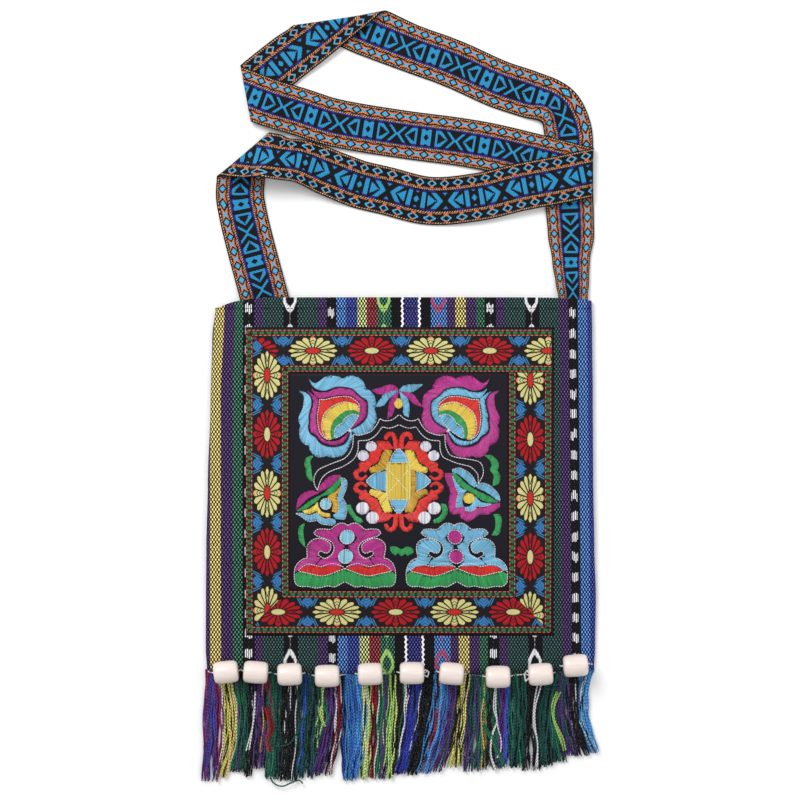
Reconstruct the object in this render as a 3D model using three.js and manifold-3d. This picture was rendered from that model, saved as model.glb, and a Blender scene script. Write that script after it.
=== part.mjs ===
// A square folk shoulder bag of striped hand-loom cloth, lying on its back. It has an embroidered
// panel framed by a flowered ribbon, a row of wooden barrel beads on a thread along the hem, a fringe
// of the cloth's own warp ends, and a patterned shoulder strap laid above the mouth in flat folds.
//
// Millimetres. +X is to the bag's right as seen from its front, +Y runs from the hem to the mouth,
// and +Z points up out of the front. The origin is the centre of the bag's back, on the surface
// that it lies on.

import * as THREE from "three";
import Module from "manifold-3d";
import { mergeVertices } from "three/addons/utils/BufferGeometryUtils.js";

// Driving dimensions of the cloth bag
const bagWidth = 272;
const bagHeight = 260;
const clothThickness = 1.2;
const crownGap = 12;
const sideGap = 3;
const seamGap = 1;
const hemDepth = 8;
const hemSag = 3;
const leftCornerDrop = 7;
const rightCornerDrop = 2;
const dentDepth = 0.7;

// Driving dimensions of the front trim
const ribbonWidth = 30;
const ribbonThickness = 1;
const frameWidth = 213;
const frameHeight = 212;
const frameRight = -0.9;
const frameUp = 2;
const panelThickness = 1;

// Driving dimensions of the strap
const strapWidth = 33.6;
const strapThickness = 1.1;
const strapReach = 200;
const strapTuck = 11;
const foldInside = 2.9;
const puckerHeight = 6;

// Driving dimensions of the beads, their thread and the fringe
const beadLength = 17;
const beadDiameter = 15.6;
const beadBore = 5.6;
const beadSides = 12;
const threadDiameter = 1;
const fringeLength = 78;
const fringeFlare = 7;
const fringeHeadDepth = 5;
const lockCount = 24;
const lockThickness = 3.2;

// Clearance between neighbouring pieces
const seat = 0.3;

const wasm = await Module();
wasm.setup();

// Small shared helpers

const clamp01 = (value) => Math.min(1, Math.max(0, value));
const lerp = (a, b, share) => a + (b - a) * share;
const smooth = (value) => {
  const t = clamp01(value);
  return t * t * (3 - 2 * t);
};

// Reads a column of a table at a place between its rows, in smooth steps.
function columnAt(table, key, column, value) {
  const next = table.findIndex((row) => row[key] >= value);
  if (next === 0) return table[0][column];
  if (next < 0) return table[table.length - 1][column];
  const [a, b] = [table[next - 1], table[next]];
  return lerp(a[column], b[column], smooth((value - a[key]) / (b[key] - a[key])));
}

// Closes an indexed mesh, turned so that its faces point out.
function closedGeometry(points, faces) {
  let volume = 0;
  const corner = new THREE.Vector3();
  for (const [a, b, c] of faces) {
    volume += points[a].dot(corner.crossVectors(points[b], points[c]));
  }
  const index = faces.flatMap(([a, b, c]) => (volume < 0 ? [a, c, b] : [a, b, c]));
  const geometry = new THREE.BufferGeometry().setFromPoints(points);
  geometry.setIndex(index);
  geometry.computeVertexNormals();
  return geometry;
}

// A sheet with thickness, from the grid of points on each of its two faces.
function sheetGeometry(upper, lower) {
  const rows = upper.length;
  const columns = upper[0].length;
  const points = [...upper.flat(), ...lower.flat()];
  const faces = [];
  const at = (layer, i, j) => layer * rows * columns + i * columns + j;
  const quad = (a, b, c, d) => faces.push([a, b, c], [a, c, d]);
  for (let i = 0; i + 1 < rows; i++) {
    for (let j = 0; j + 1 < columns; j++) {
      quad(at(0, i, j), at(0, i + 1, j), at(0, i + 1, j + 1), at(0, i, j + 1));
      quad(at(1, i, j), at(1, i, j + 1), at(1, i + 1, j + 1), at(1, i + 1, j));
    }
    const last = columns - 1;
    quad(at(0, i, 0), at(1, i, 0), at(1, i + 1, 0), at(0, i + 1, 0));
    quad(at(0, i, last), at(0, i + 1, last), at(1, i + 1, last), at(1, i, last));
  }
  for (let j = 0; j + 1 < columns; j++) {
    const last = rows - 1;
    quad(at(0, 0, j), at(0, 0, j + 1), at(1, 0, j + 1), at(1, 0, j));
    quad(at(0, last, j), at(1, last, j), at(1, last, j + 1), at(0, last, j + 1));
  }
  return closedGeometry(points, faces);
}

// A closed body lofted through rings of points, with a flat face at each end.
function loftGeometry(rings) {
  const sides = rings[0].length;
  const faces = [];
  for (let r = 0; r + 1 < rings.length; r++) {
    for (let k = 0; k < sides; k++) {
      const [a, b] = [r * sides + k, r * sides + ((k + 1) % sides)];
      faces.push([a, b, b + sides], [a, b + sides, a + sides]);
    }
  }
  const last = (rings.length - 1) * sides;
  for (let k = 1; k + 1 < sides; k++) {
    faces.push([0, k + 1, k], [last, last + k, last + k + 1]);
  }
  return closedGeometry(rings.flat(), faces);
}

// The cloth bag's form

// The bag's outline: how far its sides stand out at each height above the hem, as shares of half
// the bag's width.
const outline = [
  { up: 0.0, left: 0.993, right: 0.998 },
  { up: 0.06, left: 0.999, right: 1.003 },
  { up: 0.2, left: 0.998, right: 1.007 },
  { up: 0.33, left: 0.996, right: 0.999 },
  { up: 0.52, left: 0.988, right: 0.993 },
  { up: 0.73, left: 0.974, right: 0.991 },
  { up: 0.92, left: 0.965, right: 0.988 },
  { up: 1.0, left: 0.949, right: 0.985 },
];

const halfBag = bagWidth / 2;
const hemUp = hemDepth / bagHeight;
const cornerPower = 10;
const crownPower = 2.6;
const fullRiseUp = 0.38;
const mouthSlack = 0.22;

// The hem's and the mouth's height on the page at a share of the width, -1 at left and 1 at right.
const hemY = (across) => -bagHeight / 2 - hemSag * (1 - across ** 2);
function mouthY(across) {
  const drop = across < 0 ? leftCornerDrop : rightCornerDrop;
  return bagHeight / 2 - drop * Math.abs(across) ** cornerPower;
}

// The free space between the front and back walls.
function gapAt(across, up) {
  const full = sideGap + (crownGap - sideGap) * (1 - Math.abs(across) ** crownPower);
  const rise = smooth((up - hemUp) / fullRiseUp);
  const slack = 1 - mouthSlack * smooth((up - 0.7) / 0.3) * (1 - Math.abs(across) ** 2);
  const dent = Math.sin(2.6 * Math.PI * across + 1) * Math.sin(1.9 * Math.PI * up + 0.4);
  const dented = dentDepth * dent * rise * (1 - across ** 2);
  return lerp(seamGap, full * slack + dented, rise);
}

// The centre of a section and half its width between the rounded side folds.
function sectionAt(up) {
  const left = -halfBag * columnAt(outline, "up", "left", up);
  const right = halfBag * columnAt(outline, "up", "right", up);
  const hemClosed = up < hemUp ? up / hemUp : 1;
  const foldRadius = clothThickness + (gapAt(1, up) * hemClosed) / 2;
  return { centre: (left + right) / 2, half: (right - left) / 2 - foldRadius, foldRadius };
}

// A point of the front wall's outer face.
function frontPoint(across, up) {
  const { centre, half } = sectionAt(up);
  const closed = up < hemUp ? up / hemUp : 1;
  const y = lerp(hemY(across), mouthY(across), up);
  return new THREE.Vector3(
    centre + across * half, y, 2 * clothThickness + gapAt(across, up) * closed);
}

// The height of the front wall's outer face above a point of the page.
function frontHeight(x, y) {
  let across = x / halfBag;
  let up = 0.5;
  for (let step = 0; step < 4; step++) {
    up = clamp01((y - hemY(across)) / (mouthY(across) - hemY(across)));
    const { centre, half } = sectionAt(up);
    across = (x - centre) / half;
  }
  return frontPoint(across, up).z;
}

const bagColumns = 16;
const bagRows = 11;
const foldSteps = 4;

// One turn round the bag at a height, on its outside or, inset by the cloth, on its inside.
function bagLoop(up, inset) {
  const { centre, half, foldRadius } = sectionAt(up);
  const closed = up < hemUp ? up / hemUp : 1;
  const loop = [];
  const place = (x, z, across) =>
    loop.push(new THREE.Vector3(x, lerp(hemY(across), mouthY(across), up), z));
  const topOf = (across) => 2 * clothThickness + gapAt(across, up) * closed - inset;
  const radius = foldRadius - inset;
  for (let i = 0; i <= bagColumns; i++) {
    const across = -1 + (2 * i) / bagColumns;
    place(centre + across * half, inset, across);
  }
  for (let k = 1; k < foldSteps; k++) {
    const angle = -Math.PI / 2 + (Math.PI * k) / foldSteps;
    place(centre + half + radius * Math.cos(angle), foldRadius + radius * Math.sin(angle), 1);
  }
  for (let i = bagColumns; i >= 0; i--) {
    const across = -1 + (2 * i) / bagColumns;
    place(centre + across * half, topOf(across), across);
  }
  for (let k = 1; k < foldSteps; k++) {
    const angle = Math.PI / 2 + (Math.PI * k) / foldSteps;
    place(centre - half + radius * Math.cos(angle), foldRadius + radius * Math.sin(angle), -1);
  }
  return loop;
}

// Closes a turn round the bag with faces between its back and front rows.
function capFaces(start, turn, forward) {
  const faces = [];
  const front = (i) => start + 2 * bagColumns + foldSteps - i;
  const add = (a, b, c) => faces.push(forward ? [a, b, c] : [a, c, b]);
  for (let i = 0; i < bagColumns; i++) {
    add(start + i, front(i), front(i + 1));
    add(start + i, front(i + 1), start + i + 1);
  }
  for (let k = 0; k < foldSteps - 1; k++) {
    const right = start + bagColumns + k;
    add(front(bagColumns), right + 1, right);
    const left = front(0) + k;
    add(start, left + 1 === start + turn ? start : left + 1, left);
  }
  return faces;
}

function bagGeometry() {
  const outer = [];
  const inner = [];
  for (let k = 0; k <= bagRows; k++) {
    outer.push(bagLoop(k / bagRows, 0));
    inner.push(bagLoop(lerp(hemUp, 1, k / bagRows), clothThickness));
  }
  outer.splice(1, 0, bagLoop(hemUp, 0));
  const turn = outer[0].length;
  const loops = [...outer, ...inner.reverse()];
  const points = loops.flat();
  const faces = [];
  for (let k = 0; k + 1 < loops.length; k++) {
    for (let i = 0; i < turn; i++) {
      const [a, b] = [k * turn + i, k * turn + ((i + 1) % turn)];
      faces.push([a, b, b + turn], [a, b + turn, a + turn]);
    }
  }
  faces.push(...capFaces(0, turn, true), ...capFaces((loops.length - 1) * turn, turn, false));
  return closedGeometry(points, faces);
}

// The trim sewn on the front

// A plate that lies on the front wall, over a four-sided patch given by its corners in turn.
function drapedPlate(corners, alongSteps, acrossSteps, thickness) {
  const [a, b, c, d] = corners.map(([x, y]) => new THREE.Vector2(x, y));
  const upper = [];
  const lower = [];
  for (let i = 0; i <= alongSteps; i++) {
    const near = a.clone().lerp(b, i / alongSteps);
    const far = d.clone().lerp(c, i / alongSteps);
    const row = [];
    for (let j = 0; j <= acrossSteps; j++) row.push(near.clone().lerp(far, j / acrossSteps));
    const lift = (extra) => row.map(
      ({ x, y }) => new THREE.Vector3(x, y, frontHeight(x, y) + seat + extra));
    upper.push(lift(thickness));
    lower.push(lift(0));
  }
  return sheetGeometry(upper, lower);
}

const frameEdge = {
  left: frameRight - frameWidth / 2,
  right: frameRight + frameWidth / 2,
  bottom: frameUp - frameHeight / 2,
  top: frameUp + frameHeight / 2,
};
const windowEdge = {
  left: frameEdge.left + ribbonWidth,
  right: frameEdge.right - ribbonWidth,
  bottom: frameEdge.bottom + ribbonWidth,
  top: frameEdge.top - ribbonWidth,
};

// The ribbon goes round in one length: three mitred corners, and square ends where it starts and
// stops at the top right. Each leg keeps half a seat clear of its neighbour.
const join = seat / 2;
const ribbonLegs = {
  ribbon_top: [
    [frameEdge.left + join, frameEdge.top], [frameEdge.right, frameEdge.top],
    [frameEdge.right, windowEdge.top + join], [windowEdge.left + join, windowEdge.top + join],
  ],
  ribbon_left: [
    [frameEdge.left, frameEdge.bottom + join], [frameEdge.left, frameEdge.top - join],
    [windowEdge.left - join, windowEdge.top - join], [windowEdge.left - join, windowEdge.bottom + join],
  ],
  ribbon_bottom: [
    [frameEdge.right - join, frameEdge.bottom], [frameEdge.left + join, frameEdge.bottom],
    [windowEdge.left + join, windowEdge.bottom - join], [windowEdge.right - join, windowEdge.bottom - join],
  ],
  ribbon_right: [
    [frameEdge.right, windowEdge.top - join], [frameEdge.right, frameEdge.bottom + join],
    [windowEdge.right + join, windowEdge.bottom + join], [windowEdge.right + join, windowEdge.top - join],
  ],
};
const panelCorners = [
  [windowEdge.left + join, windowEdge.bottom + join], [windowEdge.right - join, windowEdge.bottom + join],
  [windowEdge.right - join, windowEdge.top - join], [windowEdge.left + join, windowEdge.top - join],
];

// The shoulder strap

// The strap's middle line, leg by leg between folds. across is a share of half the mouth's width,
// above a share of the strap's reach over the mouth, lift a share of the height of a fold, wide a
// share of the strap's width, and tilt the degrees by which its left edge is turned up.
const strapLegs = [
  [
    { across: -0.703, above: -0.062, lift: 0.34, wide: 1, tilt: 0 },
    { across: -0.721, above: 0.000, lift: 0.34, wide: 1, tilt: 0 },
    { across: -0.764, above: 0.106, lift: 0.1, wide: 1, tilt: 0 },
    { across: -0.806, above: 0.211, lift: 0, wide: 1, tilt: 0 },
    { across: -0.838, above: 0.302, lift: 0, wide: 1, tilt: 0 },
    { across: -0.852, above: 0.362, lift: 0, wide: 1, tilt: 0 },
    { across: -0.846, above: 0.421, lift: 0, wide: 1, tilt: 0 },
    { across: -0.841, above: 0.482, lift: 0, wide: 1, tilt: 0 },
  ],
  [
    { across: -0.841, above: 0.482, lift: 1, wide: 1, tilt: 0 },
    { across: -0.772, above: 0.477, lift: 0.95, wide: 1, tilt: -10 },
    { across: -0.697, above: 0.473, lift: 0.6, wide: 1, tilt: -30 },
    { across: -0.548, above: 0.467, lift: 0.1, wide: 1, tilt: -24 },
    { across: -0.381, above: 0.432, lift: 0, wide: 1, tilt: -8 },
    { across: -0.213, above: 0.398, lift: 0, wide: 1, tilt: 0 },
    { across: -0.090, above: 0.379, lift: 0, wide: 1, tilt: 0 },
    { across: 0.160, above: 0.341, lift: 0, wide: 1, tilt: 0 },
    { across: 0.426, above: 0.355, lift: 0.55, wide: 1, tilt: 0 },
    { across: 0.639, above: 0.388, lift: 0.98, wide: 1, tilt: 0 },
    { across: 0.852, above: 0.414, lift: 1.25, wide: 1, tilt: 0 },
    { across: 1.005, above: 0.435, lift: 1.42, wide: 1, tilt: 0 },
  ],
  [
    { across: 1.005, above: 0.435, lift: 0.42, wide: 1, tilt: 0 },
    { across: 0.745, above: 0.482, lift: 0.42, wide: 1, tilt: 0 },
    { across: 0.410, above: 0.537, lift: 0.1, wide: 1, tilt: 0 },
    { across: 0.000, above: 0.575, lift: 0, wide: 1, tilt: 0 },
    { across: -0.346, above: 0.613, lift: 0.4, wide: 1, tilt: 0 },
    { across: -0.538, above: 0.652, lift: 0.7, wide: 1, tilt: 0 },
    { across: -0.692, above: 0.682, lift: 1.0, wide: 1, tilt: 0 },
    { across: -0.800, above: 0.709, lift: 1.05, wide: 1, tilt: 0 },
  ],
  [
    { across: -0.800, above: 0.709, lift: 0.05, wide: 1, tilt: 0 },
    { across: -0.618, above: 0.816, lift: 0.15, wide: 1, tilt: 0 },
    { across: -0.476, above: 0.893, lift: 0.7, wide: 1, tilt: 0 },
    { across: -0.354, above: 0.962, lift: 1, wide: 1, tilt: 0 },
  ],
  [
    { across: -0.354, above: 0.962, lift: 0, wide: 1, tilt: 0 },
    { across: -0.266, above: 0.937, lift: 0, wide: 1, tilt: 0 },
    { across: -0.096, above: 0.899, lift: 0, wide: 1, tilt: 0 },
    { across: 0.081, above: 0.862, lift: 0, wide: 1, tilt: 0 },
    { across: 0.266, above: 0.825, lift: 0, wide: 1, tilt: 0 },
    { across: 0.522, above: 0.750, lift: 0, wide: 1, tilt: 0 },
    { across: 0.692, above: 0.712, lift: 0, wide: 1, tilt: 0 },
    { across: 0.830, above: 0.670, lift: 0, wide: 1, tilt: 0 },
    { across: 0.889, above: 0.596, lift: 0, wide: 1, tilt: 0 },
    { across: 0.900, above: 0.519, lift: 0, wide: 1, tilt: 0 },
    { across: 0.900, above: 0.432, lift: 0, wide: 1, tilt: 0 },
    { across: 0.902, above: 0.327, lift: 0, wide: 1, tilt: 0 },
    { across: 0.910, above: 0.222, lift: 0, wide: 0.96, tilt: 0 },
    { across: 0.910, above: 0.127, lift: 0.08, wide: 0.78, tilt: 0 },
    { across: 0.916, above: 0.061, lift: 0.22, wide: 0.7, tilt: 0 },
    { across: 0.920, above: 0.000, lift: 0.34, wide: 0.61, tilt: 0 },
    { across: 0.917, above: -0.062, lift: 0.34, wide: 0.6, tilt: 0 },
  ],
];
const strapPucker = { leg: 4, across: 0.772, above: 0.655, side: -1, length: 0.27 };

const foldRise = foldInside + strapThickness;
const halfMouth = halfBag * 0.967;
const legSamples = 160;
const stationPitch = 12;
const strapColumns = 4;
const foldStations = 6;
const slideLength = 2.5 * strapWidth;
const fadeLength = 1.6 * strapWidth;

// A smooth line through the rows of a leg, sampled evenly enough to walk along.
function legPath(rows) {
  const spots = rows.map((row) => ({
    x: row.across * halfMouth,
    y: bagHeight / 2 + (row.above < 0 ? -strapTuck : row.above * strapReach),
    lift: row.lift,
    wide: row.wide,
    tilt: row.tilt,
  }));
  const chords = [0];
  for (let i = 1; i < spots.length; i++) {
    const step = Math.hypot(spots[i].x - spots[i - 1].x, spots[i].y - spots[i - 1].y);
    chords.push(chords[i - 1] + step);
  }
  const slope = (key, i) => {
    const [a, b] = [Math.max(0, i - 1), Math.min(spots.length - 1, i + 1)];
    return (spots[b][key] - spots[a][key]) / (chords[b] - chords[a]);
  };
  const samples = [];
  for (let k = 0; k <= legSamples; k++) {
    const place = (chords[chords.length - 1] * k) / legSamples;
    const i = Math.min(spots.length - 2, Math.max(0, chords.findIndex((c) => c > place) - 1));
    const next = place >= chords[chords.length - 1] ? spots.length - 2 : i;
    const span = chords[next + 1] - chords[next];
    const t = (place - chords[next]) / span;
    const hermite = (key) => {
      const [a, b] = [spots[next][key], spots[next + 1][key]];
      const [m, n] = [slope(key, next) * span, slope(key, next + 1) * span];
      return (2 * t ** 3 - 3 * t ** 2 + 1) * a + (t ** 3 - 2 * t ** 2 + t) * m +
        (-2 * t ** 3 + 3 * t ** 2) * b + (t ** 3 - t ** 2) * n;
    };
    samples.push({
      x: hermite("x"),
      y: hermite("y"),
      lift: lerp(spots[next].lift, spots[next + 1].lift, smooth(t)),
      wide: lerp(spots[next].wide, spots[next + 1].wide, smooth(t)),
      tilt: lerp(spots[next].tilt, spots[next + 1].tilt, smooth(t)),
    });
  }
  let along = 0;
  samples.forEach((sample, k) => {
    const before = samples[Math.max(0, k - 1)];
    along += Math.hypot(sample.x - before.x, sample.y - before.y);
    sample.along = along;
  });
  return samples;
}

// The place and heading of a leg at a distance along it. Past its ends it goes straight on.
function walk(path, distance) {
  const length = path[path.length - 1].along;
  const inside = Math.min(length, Math.max(0, distance));
  const i = Math.min(path.length - 2, Math.max(0, path.findIndex((s) => s.along > inside) - 1));
  const first = inside >= length ? path.length - 2 : i;
  const [a, b] = [path[first], path[first + 1]];
  const t = (inside - a.along) / (b.along - a.along);
  const heading = new THREE.Vector2(b.x - a.x, b.y - a.y).normalize();
  const place = new THREE.Vector2(lerp(a.x, b.x, t), lerp(a.y, b.y, t));
  place.addScaledVector(heading, distance - inside);
  const between = (key) => lerp(a[key], b[key], t);
  return { place, heading, lift: between("lift"), wide: between("wide"), tilt: between("tilt") };
}

const leftOf = (v) => new THREE.Vector2(-v.y, v.x);

// The crease between two legs halves the angle between their headings.
function creaseBetween(inward, outward) {
  const turn = (v) => Math.atan2(v.y, v.x);
  const angle = (turn(inward) + turn(outward)) / 2;
  return new THREE.Vector2(Math.cos(angle), Math.sin(angle));
}

const strapFloor = strapThickness / 2 + 0.2;
const strapLevel = (lift) => strapFloor + lift * foldRise;

// The turns of the strap between its legs: each crease's line, the way out of the strap there, the
// levels that it joins, and how far the strap moves on along the crease as it goes round.
function strapFolds(paths) {
  return paths.slice(1).map((next, k) => {
    const from = walk(paths[k], paths[k][legSamples].along);
    const to = walk(next, 0);
    const crease = creaseBetween(from.heading, to.heading);
    const outwards = leftOf(crease);
    if (outwards.dot(from.heading) < 0) outwards.negate();
    const [low, high] = [strapLevel(from.lift), strapLevel(to.lift)];
    const radius = Math.abs(high - low) / 2;
    const drift = (Math.PI * radius * crease.dot(from.heading)) / outwards.dot(from.heading);
    const shift = from.place.clone().addScaledVector(crease, drift).sub(to.place);
    return { crease, outwards, low, high, radius, shift };
  });
}

// The stations of a leg are lines of points across it, which lie along the crease next to a fold.
function legStations(path, leg, before, after) {
  const flip = leg % 2 === 0 ? 1 : -1;
  const total = path[legSamples].along;
  const shearBy = (fold, heading) =>
    (fold ? fold.crease.dot(heading) / fold.crease.dot(leftOf(heading)) : 0);
  const shearIn = shearBy(before, walk(path, 0).heading);
  const shearOut = shearBy(after, walk(path, total).heading);
  const fade = Math.min(total / 2, fadeLength);
  const steps = Math.ceil(total / stationPitch);
  const stations = [];
  for (let k = 0; k <= steps; k++) {
    const along = (total * k) / steps;
    const shear = shearIn * clamp01(1 - along / fade) +
      shearOut * clamp01(1 - (total - along) / fade);
    const slide = before ? clamp01(1 - along / Math.min(total, slideLength)) : 0;
    const middle = walk(path, along);
    const tilt = THREE.MathUtils.degToRad(middle.tilt);
    const half = (strapWidth * middle.wide) / 2;
    const points = [];
    for (let j = 0; j <= strapColumns; j++) {
      const offset = flip * half * (-1 + (2 * j) / strapColumns);
      const spot = walk(path, along + offset * shear);
      const plan = spot.place.addScaledVector(leftOf(spot.heading), offset * Math.cos(tilt));
      if (before) plan.addScaledVector(before.shift, slide);
      const height = strapLevel(middle.lift) + half * Math.abs(Math.sin(tilt)) +
        offset * Math.sin(tilt);
      const point = new THREE.Vector3(plan.x, plan.y, height);
      points.push(leg === strapPucker.leg ? puckered(point, spot.heading, offset / half) : point);
    }
    stations.push({ points, normal: new THREE.Vector3(0, 0, flip) });
  }
  return stations;
}

// The half turn that joins the last station of a leg to the first one of the next.
function foldBetween(last, first, { outwards, low, high, radius }) {
  const rising = Math.sign(high - low);
  const stations = [];
  for (let k = 1; k < foldStations; k++) {
    const angle = -Math.PI / 2 + (Math.PI * k) / foldStations;
    const height = lerp(low, high, (1 + Math.sin(angle)) / 2);
    const points = last.points.map((point, j) => {
      const spot = point.clone().lerp(first.points[j], k / foldStations);
      spot.x += outwards.x * radius * Math.cos(angle);
      spot.y += outwards.y * radius * Math.cos(angle);
      return spot.setZ(height);
    });
    const normal = new THREE.Vector3(
      outwards.x * Math.cos(angle), outwards.y * Math.cos(angle), rising * Math.sin(angle));
    stations.push({ points, normal: normal.multiplyScalar(-rising * last.normal.z) });
  }
  return stations;
}

function strapStations() {
  const paths = strapLegs.map(legPath);
  const folds = strapFolds(paths);
  const legs = paths.map((path, leg) => legStations(path, leg, folds[leg - 1], folds[leg]));
  return legs.flatMap((stations, leg) => {
    if (leg === 0) return stations;
    const last = legs[leg - 1][legs[leg - 1].length - 1];
    return [...foldBetween(last, stations[0], folds[leg - 1]), ...stations];
  });
}

// The inner edge stands up in a pucker where the strap turns the corner, drawn in to the outer side.
function puckered(point, heading, side) {
  const x = strapPucker.across * halfMouth;
  const y = bagHeight / 2 + strapPucker.above * strapReach;
  const near = Math.hypot(point.x - x, point.y - y) / (strapPucker.length * strapWidth);
  const share = clamp01((1 + side * strapPucker.side) / 2) ** 2 * Math.exp(-(near ** 2));
  const outwards = leftOf(heading).multiplyScalar(-strapPucker.side * puckerHeight * share);
  return point.add(new THREE.Vector3(outwards.x, outwards.y, puckerHeight * share));
}

function strapGeometry() {
  const stations = strapStations();
  const face = (sign) => stations.map(({ points, normal }) =>
    points.map((p) => p.clone().addScaledVector(normal, (sign * strapThickness) / 2)));
  return sheetGeometry(face(1), face(-1));
}

// The beads and their thread

// Each bead's place along the hem as a share of half its width, its rise over the hem's edge as a
// share of its diameter, and the degrees that it lies turned.
const beadRow = [
  { across: -0.891, rise: 0.0, turn: 6 },
  { across: -0.739, rise: 0.04, turn: -4 },
  { across: -0.565, rise: -0.01, turn: 2 },
  { across: -0.373, rise: -0.05, turn: 1 },
  { across: -0.153, rise: 0.06, turn: 2 },
  { across: 0.061, rise: 0.11, turn: 0 },
  { across: 0.264, rise: 0.07, turn: -5 },
  { across: 0.502, rise: -0.11, turn: 1 },
  { across: 0.72, rise: -0.05, turn: 4 },
  { across: 0.899, rise: 0.29, turn: 5 },
];

// Half of a bead's outline, from its end to its middle: shares of half the length and of the radius.
const barrel = [
  { out: 1.0, wide: 0.64 },
  { out: 0.93, wide: 0.85 },
  { out: 0.7, wide: 0.96 },
  { out: 0.3, wide: 1.0 },
];

function beadGeometry() {
  const edge = (out, wide) => new THREE.Vector2(wide, out);
  const outer = barrel.map(({ out, wide }) =>
    edge((out * beadLength) / 2, (wide * beadDiameter) / 2));
  const mirrored = [...outer].reverse().map(({ x, y }) => edge(-y, x));
  const bore = [edge(-beadLength / 2, beadBore / 2), edge(beadLength / 2, beadBore / 2)];
  const profile = [bore[0], bore[1], ...outer, ...mirrored, bore[0].clone()];
  const points = [];
  const faces = [];
  const ring = profile.length - 1;
  for (let s = 0; s < beadSides; s++) {
    const angle = (2 * Math.PI * s) / beadSides;
    for (const { x, y } of profile.slice(0, ring)) {
      points.push(new THREE.Vector3(y, x * Math.cos(angle), x * Math.sin(angle)));
    }
  }
  for (let s = 0; s < beadSides; s++) {
    const after = ((s + 1) % beadSides) * ring;
    for (let k = 0; k < ring; k++) {
      const [a, b] = [s * ring + k, s * ring + ((k + 1) % ring)];
      const [c, d] = [after + ((k + 1) % ring), after + k];
      faces.push([a, b, c], [a, c, d]);
    }
  }
  return closedGeometry(points, faces);
}

// Where a bead lies: on the hem, or on the fringe's head where it hangs over the hem's edge.
function beadPlace({ across, rise, turn }) {
  const x = across * halfBag;
  const y = hemY(across) + rise * beadDiameter;
  const reach = beadLength / 2;
  const under = Math.max(...[-reach, 0, reach].flatMap((dx) =>
    [-1, 0, 2, 4].map((dy) => {
      const sink = beadDiameter / 2 - Math.sqrt((beadDiameter / 2) ** 2 - dy ** 2);
      return frontHeight(x + dx, y + dy) - sink;
    })));
  return { x, y, z: under + seat + beadDiameter / 2, turn: (turn * Math.PI) / 180 };
}

const beadPlaces = beadRow.map(beadPlace);

// The thread runs straight through every bead, low in its bore, and dips to the cloth in between.
// Its ends are caught at the bag's two sides.
function threadRoute() {
  const low = beadBore / 2 - threadDiameter / 2 - seat;
  const rise = seat + threadDiameter / 2;
  const onCloth = (x, y) => new THREE.Vector3(x, y, frontHeight(x, y) + rise);
  const route = [onCloth(-0.985 * halfBag, beadPlaces[0].y)];
  beadPlaces.forEach(({ x, y, z, turn }, k) => {
    const before = route[route.length - 1];
    const ends = [-1, 1].map((side) => new THREE.Vector3(
      x + (side * beadLength * Math.cos(turn)) / 2,
      y + (side * beadLength * Math.sin(turn)) / 2, z - low));
    if (k > 0) {
      const middle = before.clone().lerp(ends[0], 0.5);
      const sag = (ends[0].x - before.x) * 0.25;
      middle.z = Math.max(onCloth(middle.x, middle.y).z, middle.z - sag);
      route.push(middle);
    }
    route.push(...ends);
  });
  route.push(onCloth(0.985 * halfBag, beadPlaces[beadPlaces.length - 1].y));
  return route;
}

const threadSides = 6;

function threadGeometry() {
  const route = threadRoute();
  const rings = route.map((spot, k) => {
    const [before, after] = [route[Math.max(0, k - 1)], route[Math.min(route.length - 1, k + 1)]];
    const heading = after.clone().sub(before).normalize();
    const side = new THREE.Vector3(0, 0, 1).cross(heading).normalize();
    const up = heading.clone().cross(side);
    return Array.from({ length: threadSides }, (_, n) => {
      const angle = (2 * Math.PI * n) / threadSides;
      return spot.clone().addScaledVector(side, (Math.cos(angle) * threadDiameter) / 2)
        .addScaledVector(up, (Math.sin(angle) * threadDiameter) / 2);
    });
  });
  return loftGeometry(rings);
}

// The fringe

// How far each lock sways at its foot, and how long it is, by slow waves along the row.
const lockSway = (share) => 2.4 * Math.sin(9 * share) + 1.8 * Math.sin(23 * share + 1);
const lockReach = (share) =>
  0.99 - 0.11 * share + 0.02 * Math.sin(17 * share + 2) - 0.14 * share ** 30;

const lockSteps = 6;
const lockSides = 6;

function lockRings(share) {
  const pitch = bagWidth / lockCount;
  const across = -1 + (2 * (share + 0.5)) / lockCount;
  const place = across * (halfBag - pitch / 4);
  const top = hemY(across) - seat - fringeHeadDepth / 2;
  const rings = [];
  for (let r = 0; r <= lockSteps; r++) {
    const down = r / lockSteps;
    const sway = lockSway((across + 1) / 2) * down ** 1.6 + 1.5 * Math.sin(5 * down + share);
    const centre = new THREE.Vector2(
      place + (down === 0 ? 0 : sway) + fringeFlare * across * down,
      top - (fringeLength - fringeHeadDepth / 2) * lockReach((across + 1) / 2) * down);
    const wide = (pitch / 2) * lerp(1.06, 0.74, smooth(down * 1.1));
    const thick = (lockThickness / 2) * lerp(0.72, 1, smooth(down * 3)) * lerp(1, 0.55, down ** 3);
    const ring = [];
    for (let k = 0; k < lockSides; k++) {
      const angle = (2 * Math.PI * (k + 0.5)) / lockSides;
      ring.push(new THREE.Vector3(
        centre.x + wide * Math.cos(angle), centre.y, thick * (1 + Math.sin(angle)) + 0.05));
    }
    rings.push(ring);
  }
  return rings;
}

// The head is the last of the cloth under the hem, from which the warp ends hang.
function headGeometry() {
  const height = 2 * clothThickness;
  const upper = [];
  const lower = [];
  for (let i = 0; i <= bagColumns; i++) {
    const across = (-1 + (2 * i) / bagColumns) * 0.985;
    const edge = hemY(across) - seat;
    const row = (z) => [0, -fringeHeadDepth].map(
      (drop) => new THREE.Vector3(across * halfBag, edge + drop, z));
    upper.push(row(height));
    lower.push(row(0.05));
  }
  return sheetGeometry(upper, lower);
}

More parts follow.
